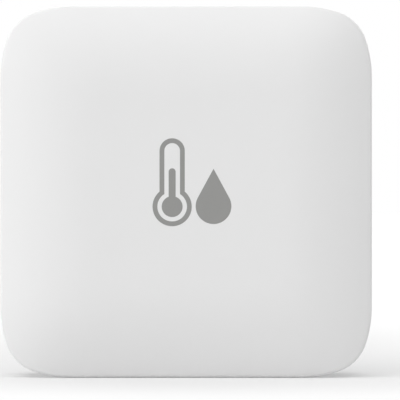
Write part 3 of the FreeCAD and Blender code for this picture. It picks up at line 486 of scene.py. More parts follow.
class SweepTool:
    """Sweeps profiles round outlines and repeats the results in rows."""

    INPUTS = {"Half Width": float, "Half Height": float, "Corner Reach": float, "Soft Radius": float,
              "Tight Radius": float, "Corner Shrink": float, "Corner Steps": int, "Profile Points": int,
              "Turn": Vector, "Place": Vector, "Copies": int, "Pitch": Vector, "Material": Material}

    def __init__(self) -> None:
        """Write the tree."""
        sheet = GeometrySheet("profile_sweep", self.INPUTS)
        self.sheet = sheet
        steps, count = sheet.given("Corner Steps"), sheet.given("Profile Points")
        grid = sheet.node("GeometryNodeMeshGrid", {}, {
            "Size X": 1.0, "Size Y": 1.0, "Vertices X": sheet.whole(steps * 4 + 1), "Vertices Y": count})
        position = self.position(steps, count)
        swept = sheet.node("GeometryNodeSetPosition", {}, {"Geometry": grid, "Position": position})
        closed = sheet.node("GeometryNodeMergeByDistance", {}, {"Geometry": swept, "Distance": 1e-6})
        placed = sheet.node("GeometryNodeTransform", {}, {
            "Geometry": closed, "Translation": sheet.given("Place"), "Rotation": sheet.given("Turn")})
        row = sheet.node("GeometryNodeMeshLine", {"mode": "OFFSET"}, {
            "Count": sheet.given("Copies"), "Offset": sheet.given("Pitch")})
        copies = sheet.node("GeometryNodeInstanceOnPoints", {}, {"Points": row, "Instance": placed})
        sheet.finish(copies)

    def position(self, steps: Wire, count: Wire) -> Wire:
        """Place each point of the grid: one direction runs round, the other along the profile.

        Args:
            steps: The number of points in each quarter of the outline.
            count: The number of points of the profile.

        Returns:
            The position.
        """
        sheet = self.sheet
        index = sheet.node("GeometryNodeInputIndex")
        column = ((index + 0.5) / count).math("FLOOR")
        row = index - column * count
        around = column % (steps * 4)
        quarter = ((around + 0.5) / steps).math("FLOOR")
        turn = (around - quarter * steps) / (steps - 1) * (math.pi / 2)
        sample = sheet.node("GeometryNodeSampleIndex", {"data_type": "FLOAT_VECTOR", "domain": "POINT"}, {
            "Geometry": sheet.given("Geometry"), "Value": sheet.node("GeometryNodeInputPosition"),
            "Index": sheet.whole(row)})
        inset, depth, spread = [sheet.node("ShaderNodeSeparateXYZ", {}, {0: sample}, output=axis)
                                for axis in range(3)]

        share = 1.0 - inset * sheet.given("Corner Shrink")
        reach = sheet.given("Corner Reach") * share
        soft = sheet.given("Soft Radius") * share
        tight = sheet.given("Tight Radius") * share
        gap = soft - tight
        bend = ((reach - tight) / gap - 1.0) / math.sqrt(2)
        change = bend.math("ARCSINE") + math.pi / 4
        odd = quarter % 2.0
        width, height = sheet.given("Half Width"), sheet.given("Half Height")
        near_half = width + (height - width) * odd - inset
        far_half = height + (width - height) * odd - inset

        first = turn < change
        last = turn > (math.pi / 2 - change)
        middle = 1.0 - first - last
        near = (first * (near_half - soft) + last * (near_half - reach)
                + middle * (near_half - soft + gap * change.math("COSINE")))
        far = (first * (far_half - reach) + last * (far_half - soft)
               + middle * (far_half - reach + gap * change.math("SINE")))
        radius = tight + gap * (first + last)
        across = (near + radius * turn.math("COSINE")) * spread
        up = (far + radius * turn.math("SINE")) * spread
        spin = quarter * (math.pi / 2)
        return sheet.node("ShaderNodeCombineXYZ", {}, {
            0: across * spin.math("COSINE") - up * spin.math("SINE"),
            1: depth,
            2: across * spin.math("SINE") + up * spin.math("COSINE")})

    def make(self, name: str, form: SweptForm, place: Point,
             material: Material | None = None) -> Object:
        """Sweep a form.

        Args:
            name: The name of the piece.
            form: The form.
            place: Where the middle of its outline at depth 0 goes, in millimetres.
            material: Its finish.

        Returns:
            The piece, closed and facing outwards.
        """
        outline, points = form.outline, form.profile.points
        piece = new_piece(name, form.profile.mesh(name))
        self.sheet.run(piece, {
            "Half Width": outline.half_width * MM, "Half Height": outline.half_height * MM,
            "Corner Reach": outline.reach * MM, "Soft Radius": outline.soft * MM,
            "Tight Radius": outline.tight * MM, "Corner Shrink": outline.shrink / MM,
            "Corner Steps": outline.steps, "Profile Points": len(points),
            "Turn": (math.radians(form.facing.value), 0.0, 0.0), "Place": tuple(part * MM for part in place),
            "Copies": form.copies, "Pitch": (form.across * MM, 0.0, form.up * MM), "Material": material})
        face_outwards(piece.data)
        return piece


def rounded_copy(name: str, node: Object, width: float, steps: int = 2) -> Object:
    """Copy a solid of the frame as a piece with rounded edges.

    Args:
        name: The name of the piece.
        node: The solid.
        width: The size of the rounding.
        steps: The number of its steps.

    Returns:
        The piece, with smooth shading.
    """
    mesh = node.data.copy()
    mesh.name = name
    if "custom_normal" in mesh.attributes:
        mesh.attributes.remove(mesh.attributes["custom_normal"])
    work = bmesh.new()
    work.from_mesh(mesh)
    bmesh.ops.remove_doubles(work, verts=work.verts, dist=2e-6)
    bmesh.ops.dissolve_limit(work, angle_limit=math.radians(FLAT_ANGLE), verts=work.verts,
                             edges=work.edges)
    work.to_mesh(mesh)
    work.free()
    piece = new_piece(name, mesh)
    bevel = piece.modifiers.new("round", "BEVEL")
    bevel.width = width * MM
    bevel.segments = steps
    bevel.limit_method = "ANGLE"
    bevel.angle_limit = math.radians(BEVEL_ANGLE)
    bevel.use_clamp_overlap = True
    settle(piece)
    smooth(piece.data, COPY_SMOOTHING)
    even_shading(piece)
    return piece


def arc_points(centre: tuple[float, float], radius: float, start: float, end: float,
               steps: int) -> Loop:
    """Points along an arc, counter-clockwise from the right, both ends included."""
    turns = [math.radians(start + (end - start) * number / steps) for number in range(steps + 1)]
    return [(centre[0] + radius * math.cos(turn), centre[1] + radius * math.sin(turn)) for turn in turns]


def circle_points(radius: float, steps: int = 48) -> Loop:
    """The outline of a circle about the origin."""
    return arc_points((0.0, 0.0), radius, 0, 360 - 360 / steps, steps - 1)


def rectangle_points(half_width: float, half_height: float) -> Loop:
    """The outline of a rectangle about the origin."""
    return [(-half_width, -half_height), (half_width, -half_height), (half_width, half_height),
            (-half_width, half_height)]


def slot_points(length: float, width: float) -> Loop:
    """The outline of a slot with round ends about the origin."""
    radius, reach = width / 2, (length - width) / 2
    return (arc_points((reach, 0.0), radius, -90, 90, steps=24)
            + arc_points((-reach, 0.0), radius, 90, 270, steps=24))


def cut_sheet(name: str, loops: Sequence[Loop], place: Point, thickness: float) -> Object:
    """Cut a flat sheet to closed outlines, with holes where they nest.

    Args:
        name: The name of the piece.
        loops: The outlines, as points across and up.
        place: Where their origin goes on the front side of the sheet, in millimetres.
        thickness: How far the sheet reaches back from there.

    Returns:
        The piece, closed and facing outwards.
    """
    curve = bpy.data.curves.new(name, "CURVE")
    curve.dimensions = "2D"
    curve.fill_mode = "BOTH"
    curve.extrude = thickness / 2 * MM
    for loop in loops:
        spline = curve.splines.new("POLY")
        spline.points.add(len(loop) - 1)
        for point, (across, up) in zip(spline.points, loop):
            point.co = (across * MM, up * MM, 0.0, 1.0)
        spline.use_cyclic_u = True
    drawn = bpy.data.objects.new(f"{name}_drawing", curve)
    bpy.context.scene.collection.objects.link(drawn)
    graph = bpy.context.evaluated_depsgraph_get()
    mesh = bpy.data.meshes.new_from_object(drawn.evaluated_get(graph))
    mesh.name = name
    bpy.data.objects.remove(drawn)
    middle = Vector((place[0], place[1] + thickness / 2, place[2])) * MM
    mesh.transform(Matrix.Translation(middle) @ Matrix.Rotation(math.radians(90), 4, "X"))
    face_outwards(mesh, 1e-6)
    return new_piece(name, mesh)


def block(name: str, low: Point, high: Point) -> Object:
    """A box to cut with.

    Args:
        name: The name of the piece.
        low: Its lowest corner, in millimetres.
        high: Its highest corner.

    Returns:
        The piece, closed and facing outwards.
    """
    corners = [Vector((x, y, z)) * MM for x in (low[0], high[0]) for y in (low[1], high[1])
               for z in (low[2], high[2])]
    mesh = bpy.data.meshes.new(name)
    mesh.from_pydata(corners, [], [(0, 1, 3, 2), (4, 6, 7, 5), (0, 4, 5, 1), (2, 3, 7, 6),
                                   (0, 2, 6, 4), (1, 5, 7, 3)])
    face_outwards(mesh)
    return new_piece(name, mesh)


# Finishes

@dataclass(frozen=True)
class Finish:
    """A finish of one main colour, whose kind says how it varies over a piece.

    The kinds give the sizes of their patterns and the depth of their relief in millimetres.
    """

    name: str
    colour: Colour

    def material(self) -> Material:
        """The finish as a new material."""
        return self.write(ShaderSheet(self.name))

    def write(self, sheet: ShaderSheet) -> Material:
        """Write the material, as each kind does in its own way.

        Args:
            sheet: The material's node tree.

        Returns:
            The material.
        """
        raise NotImplementedError


@dataclass(frozen=True)
class MouldedPlastic(Finish):
    """Injection moulded plastic: a fine eroded texture, faint flow clouds and a soft gloss."""

    roughness: float = 0.42
    grain: float = 0.16
    relief: float = 0.0016
    clouds: float = 0.012
    cloud_size: float = 7.0

    def write(self, sheet: ShaderSheet) -> Material:
        """Clouds in the colour, and grain and pits in the relief."""
        clouds, grain = sheet.noise(self.cloud_size, 3.0), sheet.noise(self.grain, 2.0)
        return sheet.surface(self.colour, clouds * 0.7 + grain * 0.3, (1 - self.clouds, 1 + self.clouds),
                             (clouds - 0.5) * 0.06 + (grain - 0.5) * 0.08 + self.roughness,
                             grain * 0.6 + sheet.cells(self.grain * 1.7) * 0.4, self.relief, IOR=1.5)


@dataclass(frozen=True)
class ClearPlastic(Finish):
    """Clear or milky plastic with a polished skin and a little haze inside."""

    roughness: float = 0.12
    clearness: float = 0.9
    haze: float = 0.8
    skin: float = 0.3
    relief: float = 0.0006

    def write(self, sheet: ShaderSheet) -> Material:
        """Haze in the colour and the gloss."""
        haze, skin = sheet.noise(self.haze, 2.0), sheet.noise(self.skin, 1.0)
        return sheet.surface(self.colour, haze, (0.97, 1.0), haze * 0.06 + self.roughness, skin,
                             self.relief, Transmission_Weight=self.clearness, IOR=1.49)


@dataclass(frozen=True)
class Foam(Finish):
    """Closed-cell foam tape: small cells cut open at the skin."""

    cell: float = 0.22
    stops: tuple[tuple[float, float], ...] = ((0.1, 0.0), (0.42, 0.35), (0.62, 1.0))
    relief: float = 0.03

    def write(self, sheet: ShaderSheet) -> Material:
        """Cell walls and fine pores."""
        walls, fine = sheet.ramp(sheet.cells(self.cell), self.stops), sheet.noise(self.cell / 2, 3.0)
        return sheet.surface(self.colour, walls * 0.7 + fine * 0.3, (0.78, 1.1), fine * 0.1 + 0.82,
                             walls * 0.8 + fine * 0.2, self.relief)


@dataclass(frozen=True)
class Sheetmetal(Finish):
    """Rolled and plated metal: fine drawn lines along one axis and a few dull spots."""

    roughness: float = 0.28
    lines: Point = (1.0, 14.0, 14.0)
    line_size: float = 1.1
    spot_size: float = 1.6
    relief: float = 0.0014

    def write(self, sheet: ShaderSheet) -> Material:
        """Drawn lines in the relief, and spots in the colour and the gloss."""
        drawn, spots = sheet.noise(self.line_size, 3.0, self.lines), sheet.noise(self.spot_size, 3.0)
        return sheet.surface(self.colour, drawn * 0.5 + spots * 0.5, (0.9, 1.06),
                             drawn * 0.12 + spots * 0.1 + (self.roughness - 0.11), drawn, self.relief,
                             Metallic=1.0)


@dataclass(frozen=True)
class BoardLaminate(Finish):
    """Circuit board: glass weave under a coat of lacquer."""

    thread: float = 0.45
    coat: float = 1.3
    relief: float = 0.002

    def write(self, sheet: ShaderSheet) -> Material:
        """Two crossed waves for the weave, and clouds for the coat."""
        weave, coat = (self.bands(sheet, "X") + self.bands(sheet, "Z")) * 0.5, sheet.noise(self.coat, 2.0)
        return sheet.surface(self.colour, weave * 0.4 + coat * 0.6, (0.82, 1.14), coat * 0.12 + 0.26,
                             weave * 0.6 + coat * 0.4, self.relief)

    def bands(self, sheet: ShaderSheet, axis: str) -> Wire:
        """Waves along an axis, one for each thread."""
        return sheet.node("ShaderNodeTexWave", {"bands_direction": axis}, {
            "Vector": sheet.place, "Scale": math.pi / (10 * self.thread * MM), "Distortion": 0.4}, "Fac")


@dataclass(frozen=True)
class Resin(Finish):
    """Cast or sintered body of an electronic part: matt, with a fine even grain."""

    roughness: float = 0.55
    grain: float = 0.09
    patch: float = 1.2
    relief: float = 0.003

    def write(self, sheet: ShaderSheet) -> Material:
        """Grain in the relief, and patches in the colour."""
        grain, patches = sheet.noise(self.grain, 3.0), sheet.noise(self.patch, 2.0)
        return sheet.surface(self.colour, grain * 0.5 + patches * 0.5, (0.86, 1.14),
                             grain * 0.16 + (self.roughness - 0.08), grain, self.relief)


@dataclass(frozen=True)
class PrintedInk(Finish):
    """Screen printed ink: flat, slightly uneven in cover."""

    fine: float = 0.25
    broad: float = 2.0
    relief: float = 0.0008

    def write(self, sheet: ShaderSheet) -> Material:
        """Fine and broad unevenness of the cover."""
        fine, broad = sheet.noise(self.fine, 3.0), sheet.noise(self.broad, 2.0)
        return sheet.surface(self.colour, fine * 0.5 + broad * 0.5, (0.965, 1.035), fine * 0.08 + 0.4,
                             fine, self.relief, IOR=1.5)


@dataclass(frozen=True)
class ReleaseFilm(Finish):
    """Thin silicone coated film that lies in faint waves on a foam."""

    wave: float = 4.5
    pore: float = 0.3
    relief: float = 0.006

    def write(self, sheet: ShaderSheet) -> Material:
        """Waves in the relief, and pores in the gloss."""
        waves, pores = sheet.noise(self.wave, 2.0), sheet.noise(self.pore, 2.0)
        return sheet.surface(self.colour, waves * 0.5 + pores * 0.5, (0.985, 1.015), pores * 0.06 + 0.26,
                             waves * 0.9 + pores * 0.1, self.relief, IOR=1.45)


class FinishShelf:
    """All finishes of the sensor, each written once and kept under its slot name."""

    FINISHES = (
        MouldedPlastic("cover_plastic", (0.80, 0.80, 0.80)),
        MouldedPlastic("housing_plastic", (0.785, 0.785, 0.78), 0.5, 0.22, 0.004),
        MouldedPlastic("door_plastic", (0.79, 0.79, 0.785), 0.48, 0.2, 0.003),
        MouldedPlastic("button_plastic", (0.74, 0.745, 0.75), 0.3, 0.14, 0.001),
        MouldedPlastic("switch_plastic", (0.02, 0.02, 0.022), 0.45),
        MouldedPlastic("plunger_plastic", (0.75, 0.73, 0.66), 0.4),
        MouldedPlastic("holder_plastic", (0.03, 0.03, 0.032), 0.5, 0.2, 0.004, 0.06),
        MouldedPlastic("gasket_plastic", (0.22, 0.24, 0.27), 0.4),
        ClearPlastic("light_pipe_plastic", (0.87, 0.88, 0.88), 0.2, 0.2),
        ClearPlastic("led_resin", (0.9, 0.88, 0.7), 0.25),
        Foam("pad_foam", (0.42, 0.43, 0.44)),
        Sheetmetal("steel_sheet", (0.62, 0.61, 0.58)),
        Sheetmetal("crystal_steel", (0.66, 0.65, 0.6), 0.22),
        Sheetmetal("contact_steel", (0.7, 0.66, 0.55), 0.25),
        Sheetmetal("cell_steel", (0.68, 0.68, 0.67), 0.2, (1.0, 1.0, 9.0)),
        Sheetmetal("screw_steel", (0.5, 0.5, 0.5), 0.3),
        Sheetmetal("antenna_copper", (0.82, 0.6, 0.28), 0.3),
        BoardLaminate("board_laminate", (0.012, 0.13, 0.055)),
        BoardLaminate("module_laminate", (0.01, 0.035, 0.11), 0.35),
        Resin("chip_black", (0.025, 0.025, 0.027)),
        Resin("cell_filling", (0.08, 0.08, 0.085), 0.8),
        Resin("ceramic_brown", (0.3, 0.2, 0.12), 0.45),
        Resin("ceramic_dark", (0.03, 0.03, 0.035), 0.4),
        Resin("capacitor_body", (0.55, 0.36, 0.08), 0.5),
        PrintedInk("badge_ink", (0.283, 0.283, 0.275)),
        PrintedInk("mark_ink", (0.3, 0.31, 0.32)),
        PrintedInk("board_ink", (0.75, 0.75, 0.72)),
        ReleaseFilm("liner_film", (0.5, 0.59, 0.66)),
        Sheetmetal("solder", (0.66, 0.66, 0.67), 0.24, (1.0, 1.0, 1.0)),
        Sheetmetal("pad_gold", (0.83, 0.62, 0.27), 0.27, (1.0, 1.0, 1.0)))

    def __init__(self) -> None:
        """Start with no material written."""
        self.finishes = {finish.name: finish for finish in self.FINISHES}
        self.made: dict[str, Material] = {}

    def get(self, slot: str) -> Material:
        """The material of a slot."""
        if slot not in self.made:
            self.made[slot] = self.finishes[slot].material()
        return self.made[slot]


# Sub-assemblies

@dataclass
class BodyForm:
    """The outside form of the body, and the sizes that several sub-assemblies share."""

    half: float = 21.5
    depth: float = 13.3
    corner_reach: float = 8.2
    soft_radius: float = 13.5
    tight_radius: float = 5.0
    crown_reach: float = 10.3
    corner_share: float = 0.45
    steps: int = 49
    board_front: float = 4.4
    board_back: float = 5.4
    light_across: float = 9.5
    locked_angle: float = 102.5
    mark_floor: float = 12.63
    mark_ink: float = 0.16

    def outline(self) -> Outline:
        """The outline of the body, whose corners tighten with the inset."""
        shrink = (1 - self.corner_share) / self.crown_reach
        return Outline(self.half, self.half, self.corner_reach, self.soft_radius, self.tight_radius,
                       shrink, self.steps)


@dataclass
class Workshop:
    """What every sub-assembly is built with."""

    frame: dict[str, Any]
    shelf: FinishShelf
    sweep: SweepTool


@dataclass
class SubAssembly:
    """Pieces of the sensor that belong together, in millimetres of the body's own axes."""

    shop: Workshop
    form: BodyForm

    def at(self, across: float, depth: float, up: float) -> Point:
        """A point of the body's own axes in the part's frame."""
        return (across, depth - self.form.depth / 2, up + self.form.half)

    def node(self, name: str) -> Object:
        """A solid of the frame."""
        return self.shop.frame["nodes"][name]

    def finish_node(self, name: str, finish: str) -> None:
        """Give a solid of the frame its finish."""
        dress(self.node(name), self.shop.shelf.get(finish))

    def show(self, piece: Object, finish: str, body: str = "housing",
             nodes: Sequence[str] = ()) -> None:
        """Dress a finished piece, let it ride on its body and stand for its nodes.

        Args:
            piece: The piece.
            finish: The name of its finish, which is the record's slot where the record has it.
            body: The body that it moves with.
            nodes: The nodes that it replaces.
        """
        dress(piece, self.shop.shelf.get(finish))
        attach(piece, body)
        if nodes:
            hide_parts(*nodes)
        LOG.info("%s: %d faces on %s", piece.name, len(piece.data.polygons), body)

    def rounded(self, node: str, name: str, finish: str, edge: float, body: str = "housing",
                steps: int = 2) -> None:
        """Show a solid as a copy with rounded edges.

        Args:
            node: The solid.
            name: The name of the copy.
            finish: Its finish.
            edge: The size of the rounding.
            body: The body that it moves with.
            steps: The number of steps of the rounding.
        """
        self.show(rounded_copy(name, self.node(node), edge, steps), finish, body, [node])

    def carved(self, name: str, form: SweptForm, place: Point, cutters: Iterable[Object] = (),
               even: bool = True) -> Object:
        """Sweep a form, cut shapes out of it and shade it smooth.

        Args:
            name: The name of the piece.
            form: The form.
            place: Where it goes.
            cutters: The shapes.
            even: Whether its large faces are to look flat.

        Returns:
            The piece.
        """
        piece = self.shop.sweep.make(name, form, place)
        cut_away(piece, cutters)
        face_outwards(piece.data)
        smooth(piece.data)
        if even:
            even_shading(piece)
        return piece

    def row(self, name: str, finish: str, form: SweptForm, place: Point) -> None:
        """Show a row of equal small forms.

        Args:
            name: The name of the piece.
            finish: Its finish.
            form: The form, with its copies.
            place: Where the first one goes.
        """
        piece = self.shop.sweep.make(name, form, place, self.shop.shelf.get(finish))
        smooth(piece.data)
        self.show(piece, finish)


def mouth(radius: float, length: float, start: float = 10.0, steps: int = 5) -> Profile:
    """The half section of a cutter that leaves a hole with a rounded mouth.

    Args:
        radius: The radius of the rounding at the mouth.
        length: How deep the cutter reaches.
        start: The slope of the rounding where it starts, in degrees.
        steps: The number of its steps.

    Returns:
        The profile.
    """
    first = math.radians(start)
    lead = 1.5 * radius
    outer = (radius * (math.sin(first) - 1) - lead * math.cos(first),
             radius * (1 - math.cos(first)) - lead * math.sin(first))
    profile = Profile().to(outer[0], outer[1], 0.0).to(*outer)
    for number in range(steps + 1):
        turn = math.radians(start + (90 - start) * number / steps)
        profile.to(radius * (math.sin(turn) - 1), radius * (1 - math.cos(turn)))
    return profile.to(0.0, length).to(0.0, length, 0.0)


def punch(length: float) -> Profile:
    """The half section of a straight cutter from 1 mm before depth 0 to a length behind it."""
    return Profile().to(0.0, -1.0, 0.0).to(0.0, -1.0).to(0.0, length).to(0.0, length, 0.0)


def raised(rise: float, edge: float, flare: float = 0.0) -> Profile:
    """The half section of a low form that stands on depth 0.

    Args:
        rise: Its height, less than 0 where it rises to the front.
        edge: The rounding at its top.
        flare: How far its hollow foot spreads.

    Returns:
        The profile.
    """
    side = math.copysign(1.0, rise)
    turns = [math.radians(angle) for angle in (0, 30, 60, 90)]
    profile = Profile().to(0.0, rise, 0.0)
    for turn in turns:
        profile.to(edge * (1 - math.sin(turn)), rise - side * edge * (1 - math.cos(turn)))
    for turn in turns if flare else ():
        profile.to(-flare * (1 - math.cos(turn)), side * flare * (1 - math.sin(turn)))
    return profile.to(-flare, 0.0).to(-flare, 0.0, 0.0)


def washer(width: float, rise: float) -> Profile:
    """The closed section of a flat ring of a width that stands on depth 0."""
    return Profile().to(0.0, 0.0).to(0.0, rise).to(width, rise).to(width, 0.0).to(0.0, 0.0)


@dataclass
class FrontCover(SubAssembly):
    """The crowned face with its side walls, vents and top openings."""

    wall: float = 1.5
    crown_angle: float = 25.0
    crown_steps: int = 30
    middle_rings: tuple[float, ...] = (0.0, 0.25, 0.6, 0.9)
    edge_round: float = 0.6
    edge_step: float = 8.25
    edge_steps: int = 7
    wall_rings: tuple[float, ...] = (3.2, 6.0, 9.0)
    rim_depth: float = 9.7
    rim_round: float = 0.12
    rim_steps: int = 4
    inner_steps: int = 12
    inner_rings: tuple[float, ...] = (0.6, 0.0)
    overcut: float = 0.6
    vent_width: float = 1.2
    vent_length: float = 3.6
    vent_pitch: float = 2.4
    vent_count: int = 7
    vent_depth: float = 5.4
    vent_mouth: float = 0.16
    button_length: float = 7.2
    button_width: float = 2.8
    button_depth: float = 6.4
    button_mouth: float = 0.14
    light_radius: float = 1.0
    light_mouth: float = 0.1
    snap_front: float = 7.9
    snap_back: float = 8.8
    snap_level: float = 9.0
    snap_reach: float = 2.7
    snap_bite: float = 0.55
    snap_lead: float = 0.5

    def profile(self) -> Profile:
        """The half section: flat middle, crown, edge, wall, rim and the same inside.

        Returns:
            The profile.
        """
        reach, edge = self.form.crown_reach, self.edge_round
        rim, low = self.rim_round, self.rim_depth
        radius = reach / math.sin(math.radians(self.crown_angle))
        centre = (reach, radius)
        meet = math.asin((reach - edge) / (radius - edge))
        edge_depth = radius - (radius - edge) * math.cos(meet)
        meet = math.degrees(meet)
        inner = radius - self.wall
        inside = math.degrees(math.asin((reach - self.wall) / inner))
        profile = Profile()
        for spread in self.middle_rings:
            profile.to(reach, 0.0, spread)
        profile.arc(centre, radius, 0, meet, self.crown_steps)
        profile.arc((edge, edge_depth), edge, meet + self.edge_step, 90, self.edge_steps)
        for depth in self.wall_rings:
            profile.to(0.0, depth)
        profile.arc((rim, low - rim), rim, 90, 180, self.rim_steps)
        profile.arc((self.wall - rim, low - rim), rim, 180, 270, self.rim_steps)
        profile.arc(centre, inner, inside, 0, self.inner_steps)
        for spread in self.inner_rings:
            profile.to(reach, self.wall, spread)
        return profile

    def snap_pockets(self) -> list[Object]:
        """The pockets inside the side walls for the housing's hooks.

        Returns:
            The four shapes to cut with.
        """
        face = self.form.half - self.wall
        pockets = []
        for side in (-1, 1):
            for level in (-1, 1):
                across = sorted((side * (face - self.snap_lead), side * (face + self.snap_bite)))
                up = level * self.snap_level
                low = self.at(across[0], self.snap_front, up - self.snap_reach)
                high = self.at(across[1], self.snap_back, up + self.snap_reach)
                pockets.append(block("snap_cutter", low, high))
        return pockets

    def openings(self) -> list[Object]:
        """The vents, the button's hole and the light's hole.

        Returns:
            The shapes to cut with.
        """
        half, through = self.form.half, self.wall + self.overcut
        vents = SweptForm(mouth(self.vent_mouth, through),
                          Outline.stadium(self.vent_width, self.vent_length, steps=9), Facing.BOTTOM,
                          self.vent_count, self.vent_pitch)
        button = SweptForm(mouth(self.button_mouth, through),
                           Outline.stadium(self.button_length, self.button_width, steps=17), Facing.TOP)
        light = SweptForm(mouth(self.light_mouth, through), Outline.circle(self.light_radius, steps=13),
                          Facing.TOP)
        first = -self.vent_pitch * (self.vent_count - 1) / 2
        return [self.shop.sweep.make("vent_cutter", vents, self.at(first, self.vent_depth, -half)),
                self.shop.sweep.make("button_cutter", button, self.at(0.0, self.button_depth, half)),
                self.shop.sweep.make("light_cutter", light,
                                     self.at(self.form.light_across, self.button_depth, half))]

    def build(self) -> None:
        """Sweep the shell and cut its openings."""
        shell = self.carved("cover_shell", SweptForm(self.profile(), self.form.outline()),
                            self.at(0.0, 0.0, 0.0), self.openings() + self.snap_pockets())
        self.show(shell, "cover_plastic", "housing", ["front_cover"])


@dataclass
class RearHousing(SubAssembly):
    """The back shell with its inner lip, posts, bayonet ring and lock marks."""

    edge: float = 0.06
    mark_radius: float = 17.4
    open_angle: float = 77.5
    dot_radius: float = 0.5
    ring_width: float = 0.3
    play: float = 0.015

    def mark(self, name: str, angle: float, radii: Sequence[float]) -> None:
        """Fill a sunk mark with ink.

        Args:
            name: The name of the piece.
            angle: The clock angle of the mark, counter-clockwise from the right.
            radii: The radius of its disc, or the outer and the inner one of its ring.
        """
        turn = math.radians(angle)
        place = self.at(self.mark_radius * math.cos(turn), self.form.mark_floor,
                        self.mark_radius * math.sin(turn))
        loops = [circle_points(radius) for radius in radii]
        self.show(cut_sheet(name, loops, place, self.form.mark_ink), "mark_ink")

    def build(self) -> None:
        """Copy the solid with its edges rounded and fill its marks."""
        self.rounded("rear_housing", "housing_shell", "housing_plastic", self.edge)
        self.mark("locked_mark_ink", self.form.locked_angle, [self.dot_radius - self.play])
        self.mark("open_mark_ink", self.open_angle,
                  [self.dot_radius + self.ring_width - self.play, self.dot_radius + self.play])


@dataclass
class BatteryDoor(SubAssembly):
    """The bayonet disc in the back with its pointer, and the foam pad on it with its liner."""

    edge: float = 0.08
    pointer_tip: float = 14.25
    pointer_size: float = 1.2
    pointer_share: float = 0.97
    pad_radius: float = 12.1
    pad_front: float = 12.5
    pad_back: float = 13.3
    window_length: float = 14.4
    window_width: float = 4.4
    squeeze: float = 0.12
    squeeze_steps: int = 8
    liner: float = 0.07
    liner_split: float = 8.6
    split_width: float = 0.16

    def pointer(self) -> Loop:
        """Draw the triangle that points at the lock marks.

        Returns:
            Its outline.
        """
        foot, side = self.pointer_tip - self.pointer_size, self.pointer_size / 2
        corners = [(self.pointer_tip, 0.0), (foot, side), (foot, -side)]
        middle = sum(out for out, _ in corners) / 3
        turn = math.radians(self.form.locked_angle)
        loop = []
        for out, aside in corners:
            out, aside = middle + (out - middle) * self.pointer_share, aside * self.pointer_share
            loop.append((out * math.cos(turn) - aside * math.sin(turn),
                         out * math.sin(turn) + aside * math.cos(turn)))
        return loop

    def foam(self) -> Object:
        """Make the pad's foam, whose rim bulges between its two skins, with the window cut out.

        Returns:
            The foam.
        """
        height = self.pad_back - self.liner - self.pad_front
        profile = Profile().to(0.0, 0.0, 0.0)
        for number in range(self.squeeze_steps + 1):
            share = number / self.squeeze_steps
            profile.to(self.squeeze * (2 * share - 1) ** 4, height * share)
        profile.to(0.0, height, 0.0)
        place = self.at(0.0, self.pad_front, 0.0)
        window = SweptForm(punch(2.0), Outline.stadium(self.window_length, self.window_width, steps=17))
        return self.carved("foam_pad", SweptForm(profile, Outline.circle(self.pad_radius, steps=33)), place,
                           [self.shop.sweep.make("window_cutter", window, place)], even=False)

    def liner_loops(self) -> list[Loop]:
        """Draw the liner, with a split that leaves a small part to peel it by.

        Returns:
            The outlines of its large part, of the coin window and of its small part.
        """
        large = math.degrees(math.acos(self.liner_split / self.pad_radius))
        small = math.degrees(math.acos((self.liner_split + self.split_width) / self.pad_radius))
        return [arc_points((0.0, 0.0), self.pad_radius, large, 360 - large, steps=100),
                slot_points(self.window_length, self.window_width),
                arc_points((0.0, 0.0), self.pad_radius, -small, small, steps=40)]

    def build(self) -> None:
        """Make the disc, its pointer, the foam and the liner."""
        self.rounded("battery_door", "door_disc", "door_plastic", self.edge, "door")
        self.show(cut_sheet("door_pointer_ink", [self.pointer()], self.at(0.0, self.form.mark_floor, 0.0),
                            self.form.mark_ink), "mark_ink", "door")
        self.show(self.foam(), "pad_foam", "door", ["adhesive_pad"])
        self.show(cut_sheet("pad_liner", self.liner_loops(), self.at(0.0, self.pad_back - self.liner, 0.0),
                            self.liner), "liner_film", "door")


@dataclass
class FaceBadge(SubAssembly):
    """The printed sign on the face: a thermometer beside a water drop.

    Each of the thermometer's outlines has the half width of its stem, the radius of its bulb
    and the height of the centre of its round top.
    """

    centre_across: float = 0.7
    centre_up: float = 1.1
    stem_across: float = -2.3
    bulb_up: float = -2.8
    outlines: tuple[Point, ...] = ((1.45, 2.25, 3.6), (0.9, 1.7, 3.6), (0.4, 1.2, 1.2))
    drop_across: float = 2.45
    drop_up: float = -2.75
    drop_radius: float = 2.05
    drop_tip: float = 4.3
    ink: float = 0.012
    sunk: float = 0.002

    def thermometer(self, stem: float, bulb: float, top: float) -> Loop:
        """An outline of a round-topped stem that runs into a round bulb."""
        meet = math.degrees(math.acos(stem / bulb))
        return (arc_points((self.stem_across, top), stem, 0, 180, steps=24)
                + arc_points((self.stem_across, self.bulb_up), bulb, 180 - meet, 360 + meet, steps=60))

    def drop(self) -> Loop:
        """Draw the drop: a circle drawn out to a tip.

        Returns:
            Its outline.
        """
        across, up, radius, tip = self.drop_across, self.drop_up, self.drop_radius, self.drop_tip
        meet = math.degrees(math.asin(radius / tip))
        return arc_points((across, up), radius, 180 - meet, 360 + meet, steps=60) + [(across, up + tip)]

    def build(self) -> None:
        """Print the sign on the face."""
        loops = [self.thermometer(*sizes) for sizes in self.outlines] + [self.drop()]
        place = self.at(self.centre_across, self.sunk - self.ink, self.centre_up)
        self.show(cut_sheet("face_badge", loops, place, self.ink), "badge_ink")


